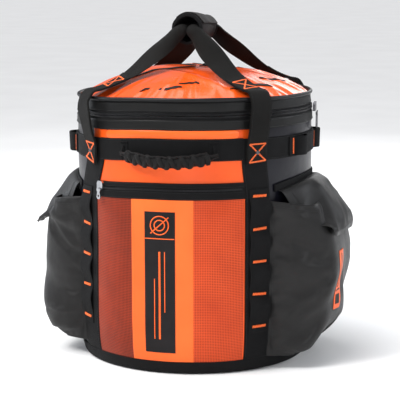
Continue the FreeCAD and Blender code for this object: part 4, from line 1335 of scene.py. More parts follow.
def dense_line(pts, frame_of, thick=0.0016, r=0.00055, pitch=0.00115):
    """A satin line of thread along (u, v) points, placed by frame_of(u, v)."""
    pts = np.asarray(pts, float)
    P, A, B, Nn = [], [], [], []
    for a, b in zip(pts[:-1], pts[1:]):
        L = np.linalg.norm(b - a)
        n = max(2, int(L / pitch))
        t = (np.arange(n) + 0.5) / n
        uv = a + (b - a) * t[:, None]
        d = (b - a) / L
        nr = np.array([-d[1], d[0]])
        lean = np.where(np.arange(n) % 2 == 0, 0.35, -0.35)
        for k in range(n):
            o_, eu, ev, en = frame_of(*uv[k])
            ax = unit(eu * (nr[0] + d[0] * lean[k]) + ev * (nr[1] + d[1] * lean[k]))
            P.append(o_), A.append(ax * thick), Nn.append(en * r * 0.9), B.append(np.cross(en, ax) * r * 1.15)
    tv, tf = bead(5, ((-1, 0.0), (-0.7, 0.75), (0, 1), (0.7, 0.75), (1, 0.0)))
    return instances(tv, tf, np.array(P), np.array(A), np.array(B), np.array(Nn))


cols_f = join(*[col_webbing(c) for c in (-46.7, 46.7)])
cols_b = join(*[col_webbing(c) for c in (-133.3, 133.3)])
make("column_webbing_front_tape", cols_f, WEB, "drum", ["column_webbing_front"], slot="black_webbing")
make("column_webbing_back_tape", cols_b, WEB, "drum", ["column_webbing_back"], slot="black_webbing")
make("daisy_front_tape", join(*[daisy(c) for c in (-46.7, 46.7)]), WEB, "drum", ["daisy_chain_front"], slot="black_webbing")
make("daisy_back_tape", join(*[daisy(c) for c in (-133.3, 133.3)]), WEB, "drum", ["daisy_chain_back"], slot="black_webbing")
tk = []
for i, c in enumerate((-46.7, 46.7, -133.3, 133.3)):
    for k, z in enumerate(TACKS):
        tk.append(tack_bar(c, z, 0.0040, skew=0.05 * math.sin(i * 3 + k * 1.7)))
for c, zc in ((74.5, 0.368), (105.5, 0.368), (-74.5, 0.368), (-105.5, 0.368)):
    pass
make("column_bartack_threads", join(*tk), THREAD, "drum", ["column_bartacks"], slot="orange_thread")
for c in (-46.7, 46.7, -133.3, 133.3):
    for dx in ((-0.0192, 0.0192) if abs(c) > 90 else ((-0.0185, 0.0300) if c < 0 else (-0.0225, 0.0185))):
        zz = np.linspace(0.026, 0.345, 100)
        B_ST.wall(np.full_like(zz, arc(c) + dx), zz, 0.0021, pitch=0.0034, length=0.0024, r=0.00026)

# side gear loops: webbing sewn flat, with two standing bows


def gear(a0, a1, bows, sgn):
    s = np.linspace(arc(a0), arc(a1), 170)
    z = spaced(0.352, 0.384, 0.004)
    S, Z = np.meshgrid(s, z, indexing="ij")
    off = np.full_like(S, 0.0024)
    ofs = np.zeros_like(S)
    for b in bows:
        u = (S - arc(b)) / 0.0165
        h = np.clip(1 - u ** 2, 0, 1) ** 0.62
        off = off + 0.0112 * h * (1 + 0.05 * (Z - 0.368) / 0.016)
    d = np.minimum(Z - 0.352, 0.384 - Z)
    P = W(S, Z, off + 0.0017 * (1 - 0.35 * (1 - smooth(0, 0.0013, d))))
    Q = W(S, Z, off)
    dl = np.cumsum(np.concatenate([[0], np.linalg.norm(np.diff(P[:, 4], axis=0), axis=-1)]))
    return closed(P, Q, np.stack([np.broadcast_to(Z, S.shape), np.broadcast_to(dl[:, None], S.shape)], -1))


make("right_gear_tape", gear(66, 114, (74.5, 105.5), 1), WEB, "drum", ["right_gear_loops"], slot="black_webbing")
make("left_gear_tape", gear(-114, -66, (-74.5, -105.5), -1), WEB, "drum", ["left_gear_loops"], slot="black_webbing")
gt = []
for sg in (1, -1):
    for b in (74.5, 105.5):
        for dd in (-0.0205, 0.0205):
            c = sg * b + math.degrees(dd / R0)
            O, T, U, N = wall_frames(arc(c), 0.368, 0.0043)
            gt.append(zigzag_bar(O[0], U[0], T[0], N[0], 0.013, 0.0020, 17))
make("gear_tack_threads", join(*gt), THREAD, "drum", slot="orange_thread")

# ================================================================== the lid


def rim_wave(th):
    return 0.0011 * noise2(np.sin(th) * 2.2 + 5, np.cos(th) * 2.2 + 5, 101, 2)


def dome_z(r, th):
    q = np.clip(r / RD, 0, 1)
    z = 0.447 + 0.0455 * (1 - q ** 2.15)
    x, y = r * np.sin(th), -r * np.cos(th)
    inner = 1 - smooth(0.80, 0.985, q)
    z = z + inner * 0.0034 * noise2(x * 9 + 3, y * 8 + 7, 103, 2)
    # gathers that run in from the seam
    cx, cy = np.sin(th), np.cos(th)
    g1 = 1 - 2 * np.abs(noise2(th * 6.5 + 31 + 0.6 * q, q * 1.6, 107, 2))
    g2 = noise2(th * 13 + 11 + 1.1 * q, q * 2.2, 109, 2)
    m = smooth(0.38, 0.86, q) * (1 - smooth(0.955, 1.0, q))
    z = z + m * (0.0030 * g1 + 0.0017 * g2 - 0.0012)
    # two long soft creases over the crown
    for ax, ay, dx, dy, w, a in ((-0.10, -0.06, 0.86, 0.51, 0.012, 0.0030), (0.02, -0.10, 0.95, -0.30, 0.010, 0.0026), (-0.04, 0.08, 0.70, -0.71, 0.014, 0.0026), (0.10, 0.05, 0.5, 0.87, 0.012, 0.0024)):
        u = (x - ax) * dx + (y - ay) * dy
        v = -(x - ax) * dy + (y - ay) * dx + 0.012 * np.sin(u * 18)
        z = z + a * np.exp(-(v / w) ** 2) * np.exp(-(u / 0.075) ** 2) * inner - 0.6 * a * np.exp(-((v - 1.7 * w) / w) ** 2) * np.exp(-(u / 0.07) ** 2) * inner
    return z + (rim_wave(th) + slump(th, 0.45)) * smooth(0.35, 1.0, q)


th = np.linspace(0, TAU, 361)[:-1]
r = np.concatenate([[1e-7], np.linspace(0.003, 0.190, 84), [0.1925, 0.1948, 0.1968, 0.1982, 0.1990]]) * (RD / 0.1992)
T, R = np.meshgrid(th, r, indexing="ij")
Z = dome_z(R, T)
sr = np.array([0.1953, 0.1958, 0.1965, 0.1972]) - 0.0003
sz = np.array([0.4452, 0.441, 0.436, 0.4300])
T2, R2 = np.meshgrid(th, sr, indexing="ij")
Z2 = np.broadcast_to(sz, T2.shape) + rim_wave(T2) * np.array([1, 0.7, 0.3, 0]) + slump(T2, 0.45)
TT, RR, ZZ = np.hstack([T, T2]), np.hstack([R, R2]), np.hstack([Z, Z2])
P = np.stack([RR * np.sin(TT), -RR * np.cos(TT), ZZ], -1)
ins = np.concatenate([np.full(len(r) - 3, 0.0), [0.0003, 0.0007, 0.0010], np.full(4, 0.0012)])
RQ = np.maximum(RR - ins, 1e-7)
ZQ = ZZ - np.concatenate([np.full(len(r) - 3, 0.0013), [0.0012, 0.0011, 0.0009], [0.0003, 0, 0, 0]])
Q = np.stack([RQ * np.sin(TT), -RQ * np.cos(TT), ZQ], -1)
make("lid_dome_cloth", closed(P, Q, P[..., :2], True), LID, "lid", ["lid_dome"], slot="orange_lid")

# plain dark strokes printed on the lid


def stroke(pts, w0, w1, seed):
    c = catmull(np.asarray(pts, float) / 1000, 10)
    t = np.linspace(0, 1, len(c))
    w = (w0 + (w1 - w0) * t) * (0.35 + 0.65 * np.sin(math.pi * np.clip(t * 0.96 + 0.02, 0, 1)) ** 0.5)
    w = w * (1 + 0.25 * noise2(t * 9, t * 0, seed, 2)) * 1.5 / 1000
    d = unit(np.gradient(c, axis=0))
    nr = np.stack([-d[:, 1], d[:, 0]], -1)
    k = np.array([-1, -0.5, 0, 0.5, 1])
    X = c[:, None, 0] + nr[:, None, 0] * w[:, None] * k
    Y = c[:, None, 1] + nr[:, None, 1] * w[:, None] * k
    rr_, tt_ = np.hypot(X, Y), np.arctan2(X, -Y)
    Zs = dome_z(rr_, tt_)
    return closed(np.stack([X, Y, Zs + 0.0011], -1), np.stack([X, Y, Zs + 0.0002], -1), np.stack([X, Y], -1))


strokes = [
    stroke([(-112, -92), (-95, -86), (-80, -88), (-50, -66), (-20, -48), (8, -26)], 1.6, 3.4, 1),
    stroke([(-70, 30), (-45, 18), (-20, 14), (0, -4)], 1.2, 5.5, 2),
    stroke([(-12, 40), (10, 22), (22, 4), (12, -12)], 4.5, 2.0, 3),
    stroke([(-46, -168), (-30, -160), (-6, -163), (22, -155)], 1.2, 3.0, 4),
    stroke([(14, -146), (26, -136), (44, -130)], 0.8, 2.4, 5),
    stroke([(78, -96), (98, -86), (112, -88), (134, -70), (150, -62)], 1.4, 3.4, 6),
    stroke([(96, -134), (112, -122), (126, -112), (140, -104)], 1.0, 2.6, 7),
    stroke([(120, -30), (136, -14), (150, 6), (160, 30)], 2.6, 1.0, 8),
    stroke([(60, 60), (84, 66), (104, 84), (118, 88)], 2.8, 1.2, 9),
    stroke([(-130, 30), (-108, 52), (-96, 76), (-70, 96)], 1.2, 3.0, 10),
    stroke([(-20, 96), (6, 112), (34, 110), (60, 128)], 3.0, 1.2, 11),
]
make("lid_print", join(*strokes), PRINT, "lid", slot="black_coated")

make("lid_side_band_tape", ring_patch(0.4306, 0.4465, -0.0004, 0.0017, zb_f, 360), BAND, "lid", ["lid_side_band"], slot="black_webbing")
tp = np.linspace(0, TAU, 361)[:-1]
pr = 0.1977 + 0.0006 * noise2(np.sin(tp) * 3 + 5, np.cos(tp) * 3 + 5, 111, 2)
P = np.stack([pr * np.sin(tp), -pr * np.cos(tp), 0.4490 + rim_wave(tp) + slump(tp, 0.45)], -1)
make("lid_piping_cord", tube(P, 0.0035, 12, closed=True), PIPING, "lid", ["lid_piping"], slot="piping")
# the piping's sewn flange
fl = []
for i in range(2):
    pass
fp = [(0.1940, 0.4452), (0.1962, 0.4440), (0.1974, 0.4458), (0.1958, 0.4478), (0.1943, 0.4480)]
make("piping_flange", revolve(fp, 300, lambda T_, R_, Z_: (R_, Z_ + rim_wave(T_) + slump(T_, 0.45))), WEB, "lid", slot="piping")
for zz in (0.4325, 0.4425):
    B_L = globals().setdefault("B_LID", Dashes())
    B_L.wall(ringt, zz, 0.0017, pitch=0.0036, length=0.0026, r=0.0003)

# a folded tab on the crown
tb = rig.box("lid_tab")
tc = (np.array(tb[0]) + np.array(tb[1])) / 2
tl = np.array(tb[1])[0] - np.array(tb[0])[0]
zt_ = lambda x, y: dome_z(np.hypot(x, y), np.arctan2(x, -y))
xs = np.linspace(tc[0] - tl / 2, tc[0] + tl / 2, 26)
base_z = zt_(xs, np.full_like(xs, tc[1]))
up_ = 0.0005 + 0.0042 * np.sin(math.pi * np.clip((xs - xs[0]) / tl, 0, 1)) ** 0.6
C = np.stack([xs, np.full_like(xs, tc[1]), base_z + up_], -1)
C2 = np.stack([xs, np.full_like(xs, tc[1]), base_z + 0.0004], -1)
make("lid_tab_tape", join(sweep(C, [0, 1, 0], unit(np.cross(np.gradient(C, axis=0), [0, 1.0, 0])), sec_flat(0.006, 0.0008)), sweep(C2, [0, 1, 0], [0, 0, 1], sec_flat(0.006, 0.0006))), WEB, "lid", ["lid_tab"], slot="black_webbing")

# ================================================================== carry loops


def arc_sec(phi, w=0.038, t=0.0020, k=10, vshift=0.0):
    phi = max(phi, 0.02)
    rho = w / (2 * phi)
    h = t / 2
    a = np.linspace(-phi, phi, k + 1)
    hh_ = np.full_like(a, h)
    hh_[0] = hh_[-1] = h * 0.62
    sh = rho * (1 - math.cos(phi)) * 0.5 + vshift
    top = np.stack([(rho + hh_) * np.sin(a), (rho + hh_) * np.cos(a) - rho + sh], -1)
    bot = np.stack([(rho - hh_) * np.sin(a), (rho - hh_) * np.cos(a) - rho + sh], -1)[::-1]
    e = phi + 0.0005 / rho
    er = np.array([[rho * math.sin(e), rho * math.cos(e) - rho + sh]])
    el = np.array([[-rho * math.sin(e), rho * math.cos(e) - rho + sh]])
    return np.vstack([top, er, bot, el])


LEG = [(0.3465, 0.0050), (0.352, 0.0052), (0.362, 0.0052), (0.372, 0.0053), (0.378, 0.0058), (0.386, 0.0082), (0.394, 0.0112), (0.404, 0.0138), (0.418, 0.0158), (0.432, 0.0160), (0.442, 0.0150), (0.4515, 0.0114), (0.460, 0.0036)]


def loop_line(sx):
    """Centre, width and normal directions, fold angle of one carry loop from front column to back column."""
    a = math.radians(46.7) * sx
    C, A, F = [], [], []
    for z, o in LEG:
        C.append(W(a * R0, z, o))
        A.append((math.cos(a), math.sin(a), 0))
        F.append(0.04)
    p0, p1 = W(a * R0, 0.460, 0.0036), np.array([0.003 + sx * 0.0105, -0.060, 0.555])
    nt = 11
    for i in range(1, nt + 1):
        t = i / nt
        arch = -0.0165 * math.sin(math.pi * t) * (1.25 - 0.6 * t)
        side = 0.001 * math.sin(math.pi * t) * (1 if sx > 0 else 0.4)
        c = p0 + (p1 - p0) * t + np.array([side, 0, arch])
        C.append(c)
        w = smooth(0, 1, t)
        A.append(unit(np.array([math.cos(a), math.sin(a), 0]) * (1 - w) + np.array([1.0, 0, 0]) * w))
        F.append(0.04 + 1.75 * smooth(0.60, 1.04, t))
    for y in (-0.040, -0.020):
        C.append(np.array([0.003 + sx * 0.0105, y, 0.555]))
        A.append((1, 0, 0))
        F.append(1.9)
    C, A, F = np.array(C), np.array(A, float), np.array(F)
    mir = np.array([1, -1, 1.0])
    C = np.vstack([C, [[0.003 + sx * 0.0105, 0, 0.555]], C[::-1] * mir])
    A = np.vstack([A, [[1, 0, 0]], A[::-1] * mir])
    F = np.concatenate([F, [1.9], F[::-1]])
    allp = catmull(np.hstack([C, A, F[:, None]]), 6)
    C, A, F = allp[:, :3], allp[:, 3:6], allp[:, 6]
    # a real strap is never quite even
    d = np.concatenate([[0], np.cumsum(np.linalg.norm(np.diff(C, axis=0), axis=-1))])
    free = smooth(0.12, 0.16, d) * (1 - smooth(d[-1] - 0.16, d[-1] - 0.12, d))
    tw = free * 0.14 * noise2(d * 7 + sx * 5, d * 0, 121 + sx, 2)
    D = unit(np.gradient(C, axis=0))
    A = unit(A - D * (A * D).sum(-1, keepdims=True))
    N = np.cross(A, D)
    A2 = A * np.cos(tw)[:, None] + N * np.sin(tw)[:, None]
    N2 = np.cross(A2, D)
    return C, A2, N2, np.maximum(F, 0.04), d


def on_strap(line, u, v, lift):
    C, A, N, F, d = line
    q = [np.array([np.interp(v, d, X[:, k]) for k in range(3)]) for X in (C, A, N)]
    f = max(float(np.interp(v, d, F)), 0.02)
    rho = 0.038 / (2 * f)
    sh = rho * (1 - math.cos(f)) * 0.5
    a = u / rho
    A_, N_ = unit(q[1]), unit(q[2])
    pos = q[0] + A_ * (rho * math.sin(a)) + N_ * (rho * math.cos(a) - rho + sh + lift)
    q2 = np.array([np.interp(v + 0.001, d, C[:, k]) for k in range(3)])
    D = unit(q2 - q[0])
    return pos, A_ * math.cos(a) - N_ * math.sin(a), D, N_ * math.cos(a) + A_ * math.sin(a)


RIV = []
for sx, nm in ((-1, "left"), (1, "right")):
    line = loop_line(sx)
    C, A, N, F, d = line
    secs = np.array([arc_sec(f) for f in F])
    strap = sweep(C, A, N, secs)
    total = d[-1]
    # the second layer, sewn on over the lower part of both legs
    step = float(np.interp(0.4795, C[: len(C) // 2, 2], d[: len(C) // 2]))
    lay = []
    for a_, b_ in ((0.0004, step), (total - step, total - 0.0004)):
        vv = np.linspace(a_, b_, 90)
        Ci = np.stack([np.interp(vv, d, C[:, k]) for k in range(3)], -1)
        Ai = unit(np.stack([np.interp(vv, d, A[:, k]) for k in range(3)], -1))
        Ni = unit(np.stack([np.interp(vv, d, N[:, k]) for k in range(3)], -1))
        Fi = np.interp(vv, d, F)
        up = np.full_like(vv, 0.00175)
        lay.append(sweep(Ci + Ni * up[:, None], Ai, Ni, np.array([arc_sec(f, 0.0368, 0.0016) for f in Fi])))
    for flip in (False, True):
        q = on_strap(line, 0.0, total - 0.018 if flip else 0.018, 0.0030)
        RIV.append((q[0], q[1], q[2], q[3]))
    o = make(f"carry_strap_{nm}", join(strap, *lay), CARRY, None, [f"carry_webbing_{nm}"], slot="carry_webbing")
    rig.blend(o, "drum", f"{nm}_loop", (0, 0, 0.3775), (0, 0, 0.3985))
    # outline stitches and edge stitches
    hs = []
    lo, hi = 0.0035, 0.0325
    zc = float(np.interp(0.4680, C[: len(C) // 2, 2], d[: len(C) // 2]))
    for v0, v1, hw_ in ((lo, hi, 0.0155), (zc - 0.0145, zc + 0.0145, 0.0150)):
        for flip in (False, True):
            for path in hour_paths(hw_, v0, v1):
                fo = (lambda u, v: on_strap(line, u, total - v if flip else v, 0.00265))
                hs.append(dense_line(path, fo, thick=0.00165, r=0.0006))
    o = make(f"strap_outline_{nm}", join(*hs), THREAD, None, ["hourglass_stitches"] if nm == "left" else [], slot="orange_thread")
    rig.blend(o, "drum", f"{nm}_loop", (0, 0, 0.3775), (0, 0, 0.3985))
    ed = Dashes()
    for u in (-0.0162, 0.0162):
        for va, vb in ((0.001, step - 0.002), (total - step + 0.002, total - 0.001)):
            q = [on_strap(line, u, v, 0.00255) for v in np.linspace(va, vb, 80)]
            ed.line(np.array([k[0] for k in q]), np.array([k[3] for k in q]), pitch=0.0036, length=0.0025, r=0.00027)
    o = make(f"strap_edge_stitch_{nm}", ed.geom(), BTHREAD, None, slot="black_webbing")
    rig.blend(o, "drum", f"{nm}_loop", (0, 0, 0.3775), (0, 0, 0.3985))

tv, tf = bead(24, ((-1, 0.0), (-0.98, 1.0), (-0.2, 1.0), (0.25, 0.9), (0.55, 0.66), (0.72, 0.34), (0.78, 0.12), (0.78, 0.0)))
RO, RA, RB, RN = (np.array([q[k] for q in RIV]) for k in range(4))
make("column_rivet_heads", instances(tv, tf, RO, RN * 0.0017, RA * 0.0037, RB * 0.0037), RIVET, "drum", ["column_rivets"], slot="rivet")

# ------------------------------------------------------------------ the wrap round both loops
wc = np.array([0.003, 0.0, 0.555])


def wrap_r(y):
    ring = smooth(-0.060, -0.056, y) * (1 - smooth(-0.044, -0.038, y))
    return 0.0250 - 0.0050 * smooth(-0.040, 0.058, y) + 0.0004 * ring


def wrap_cz(y):
    return wc[2] - 0.0030 * smooth(-0.03, 0.06, y)


def wrap_grid(r_off, y0, y1, a0, a1, na, ny, wr=0.0):
    y = np.linspace(y0, y1, ny)
    a = np.linspace(math.radians(a0), math.radians(a1), na)
    A_, Y = np.meshgrid(a, y, indexing="ij")
    lump = 0.0009 * noise2(np.cos(A_) * 1.6 + 4, Y * 26 + np.sin(A_) * 1.6, 131, 2)
    sq = 0.0012 * np.cos(2 * (A_ - 0.6)) * smooth(-0.05, 0.05, Y)
    rr_ = wrap_r(Y) + r_off + lump + sq + wr
    return np.stack([wc[0] + rr_ * np.cos(A_), Y, wrap_cz(Y) + rr_ * np.sin(A_)], -1), A_, Y


na = 97
Po, A_, Y = wrap_grid(0.0, -0.0575, 0.0585, 0, 360 - 360 / 96, 96, 40)
Pi, _, _ = wrap_grid(-0.0034, -0.0575, 0.0585, 0, 360 - 360 / 96, 96, 40)
uvw = np.stack([A_ * 0.024, Y], -1)
make("handle_wrap_cloth", closed(Po, Pi, uvw, True), WRAP, "right_loop", ["handle_wrap"], slot="wrap_fabric")
ends = []
for ye, sgn in ((-0.0575, -1), (0.0585, 1)):
    rr_ = float(wrap_r(np.array(ye)))
    prof_ = [(-0.0042, -0.0010), (-0.0046, 0.0006), (-0.0036, 0.0016), (0.0, 0.0018), (0.0011, 0.0010), (0.0012, -0.0060), (0.0004, -0.0064), (0.0001, -0.0006), (-0.0036, -0.0008)]
    aa = np.linspace(0, TAU, 97)[:-1]
    P = np.zeros((96, len(prof_), 3))
    for j, (dr, dy) in enumerate(prof_):
        g_, _, _ = wrap_grid(dr, ye - 1e-6, ye + 1e-6, 0, 360 - 360 / 96, 96, 3)
        P[:, j] = g_[:, 1]
        P[:, j, 1] = ye + sgn * dy
    ends.append(grid(P, np.stack([np.broadcast_to(aa[:, None] * 0.024, (96, len(prof_))), np.broadcast_to(np.linspace(0, 0.012, len(prof_)), (96, len(prof_)))], -1), True, True))
make("handle_wrap_binding", join(*ends), WEB, "right_loop", slot="wrap_fabric")

y_ = spaced(-0.053, 0.053, 0.003)
a_ = spaced(math.radians(20), math.radians(137), 0.06, (0.01, 0.03, 0.06))
A_, Y = np.meshgrid(a_[::-1], y_, indexing="ij")
lump = 0.0009 * noise2(np.cos(A_) * 1.6 + 4, Y * 26 + np.sin(A_) * 1.6, 131, 2) + 0.0012 * np.cos(2 * (A_ - 0.6)) * smooth(-0.05, 0.05, Y)
d = np.minimum(Y - y_[0], y_[-1] - Y)
rr_ = wrap_r(Y) + 0.0014 + lump + 0.0007 * (1 - smooth(math.radians(20), math.radians(38), A_))
P = np.stack([wc[0] + (rr_ + 0.0016) * np.cos(A_), Y, wrap_cz(Y) + (rr_ + 0.0016) * np.sin(A_)], -1)
Q = np.stack([wc[0] + rr_ * np.cos(A_), Y, wrap_cz(Y) + rr_ * np.sin(A_)], -1)
o = make("handle_wrap_flap_cloth", closed(P, Q, np.stack([A_ * 0.026, Y], -1)), WRAP, None, ["handle_wrap_flap"], slot="wrap_fabric")
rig.blend(o, "right_loop", "wrap_flap", tuple(wc + 0.0274 * np.array([math.cos(math.radians(134)), 0, math.sin(math.radians(134))])), tuple(wc + 0.0274 * np.array([math.cos(math.radians(108)), 0, math.sin(math.radians(108))])))

# ================================================================== front grab handle
HA = math.radians(2.3)
HR = 0.116
H0 = math.asin(0.080 / HR)


def h_line(a):
    """Centre of the handle at arc angle a, with directions along, across (up and out) and outwards."""
    a = np.asarray(a, float)
    out = HR * np.cos(a) - HR * math.cos(H0)
    c37, s37 = math.cos(math.radians(37)), math.sin(math.radians(37))
    x, y, z = HR * np.sin(a) + 0.003, -0.1925 - out * c37, 0.3620 - out * s37 * 0.55
    tx, to = np.cos(a), -np.sin(a)
    T_ = unit(np.stack([tx, -to * c37, -to * s37 * 0.55], -1))
    d_ = np.broadcast_to(np.array([0, -s37, c37]), T_.shape)
    n_ = unit(np.cross(T_, d_))
    rot = np.array([[math.cos(HA), -math.sin(HA), 0], [math.sin(HA), math.cos(HA), 0], [0, 0, 1]])
    P_ = np.stack([x, y, z], -1) @ rot.T
    return P_, T_ @ rot.T, d_ @ rot.T, n_ @ rot.T


a = np.linspace(-math.radians(35.5), math.radians(35.5), 120)
P, T_, D_, N_ = h_line(a)
endt = np.clip(1 - (np.abs(a) / math.radians(36.2)) ** 14, 0, 1) ** 0.5
so = sec_round(1.0, 20)
sec = np.stack([so[:, 0] * 0.0104, so[:, 1] * 0.0050], -1)[None] * (0.25 + 0.75 * endt)[:, None, None]
grip = [sweep(P, D_, N_, sec)]
amax = math.radians(34.5)
for sgn in (1, -1):
    aa = np.linspace(-amax, amax, 420)
    P, T_, D_, N_ = h_line(aa)
    x = HR * aa
    psi = sgn * (TAU * x / 0.0186) + math.pi
    offr = 0.0010 * np.cos(psi) * sgn
    fade = np.clip(1 - (np.abs(aa) / (amax * 1.03)) ** 16, 0.05, 1) ** 0.5
    ca, sa = np.cos(psi), np.sin(psi)
    C = P + D_ * ((0.0100 + offr) * ca * fade)[:, None] + N_ * ((0.0046 + offr) * sa * fade)[:, None]
    Tn = unit(np.gradient(C, axis=0))
    outw = unit(D_ * (ca / 0.0100)[:, None] + N_ * (sa / 0.0046)[:, None])
    outw = unit(outw - Tn * (outw * Tn).sum(-1, keepdims=True))
    Aw = np.cross(Tn, outw)
    ss = sec_round(1.0, 10)
    sc = np.stack([ss[:, 0] * 0.0042, ss[:, 1] * 0.0026], -1)
    grip.append(sweep(C, Aw, outw, sc[None] * fade[:, None, None]))
for sgn in (1, -1):
    aa = np.linspace(math.radians(32.0), math.radians(36.4), 14) * sgn
    P, T_, D_, N_ = h_line(aa)
    k = np.linspace(0, 1, 14)
    prof_ = 1.0 + 0.06 * np.sin(k * math.pi) - 0.45 * smooth(0.7, 1.0, k)
    grip.append(sweep(P, D_, N_, np.stack([so[:, 0] * 0.0122, so[:, 1] * 0.0068], -1)[None] * prof_[:, None, None]))
make("grab_handle_plait", join(*grip), GRIP, "front_handle", ["front_handle_grip"], slot="grip_cord")
cords = []
for sgn in (1, -1):
    for dd, nn, r_ in ((0.0085, 0.001, 0.0019), (-0.0040, 0.0008, 0.0019)):
        aa = np.linspace(math.radians(30.0), H0, 22) * sgn
        P, T_, D_, N_ = h_line(aa)
        k = np.linspace(0, 1, 22)
        w_ = dd * (1 - 0.72 * smooth(0.2, 1.0, k)) + 0.0012 * np.sin(k * 7 + dd * 900)
        cords.append(tube(P + D_ * w_[:, None] + N_ * nn, r_, 8))
aa = np.linspace(math.radians(-34), math.radians(34), 100)
P, T_, D_, N_ = h_line(aa)
cords.append(tube(P + D_ * 0.0128 + N_ * (0.0008 * np.sin(aa * 60))[:, None], 0.0013, 7))
make("grab_handle_cords", join(*cords), GRIP, "front_handle", ["front_handle_cord"], slot="grip_cord")
anc = []
for a0, a1 in ((22.4, 27.2), (-22.6, -17.8)):
    anc.append(patch(arc(a0), arc(a1), 0.3550, 0.3835, 0.0022, 0.0036, None, 0.004, 0.004))
    for dz in (0.358, 0.3810):
        anc.append(tack_bar((a0 + a1) / 2, dz, 0.0037, 0.0075, 0.0012))
    O, T, U, N = wall_frames(arc((a0 + a1) / 2), 0.3695, 0.0040)
    kk = np.linspace(0, math.pi, 24)
    ring = O[0][None] + U[0][None] * (0.0062 * np.cos(kk))[:, None] + N[0][None] * (0.0036 * np.sin(kk))[:, None]
    anc.append(tube(ring, 0.0013, 8))
make("grab_handle_anchors", join(*anc), WEB, "drum", ["handle_anchors"], slot="black_webbing")

# ================================================================== side pouches
PLAN = np.array([(0.1560, -0.1225), (0.178, -0.1185), (0.214, -0.104), (0.252, -0.074), (0.2635, -0.040), (0.2645, 0.0), (0.2635, 0.040), (0.252, 0.074), (0.214, 0.104), (0.178, 0.1185), (0.1560, 0.1225)])


def soft_min(a, b, k):
    h = np.clip(0.5 + 0.5 * (b - a) / k, 0, 1)
    return b * (1 - h) + a * h - k * h * (1 - h)


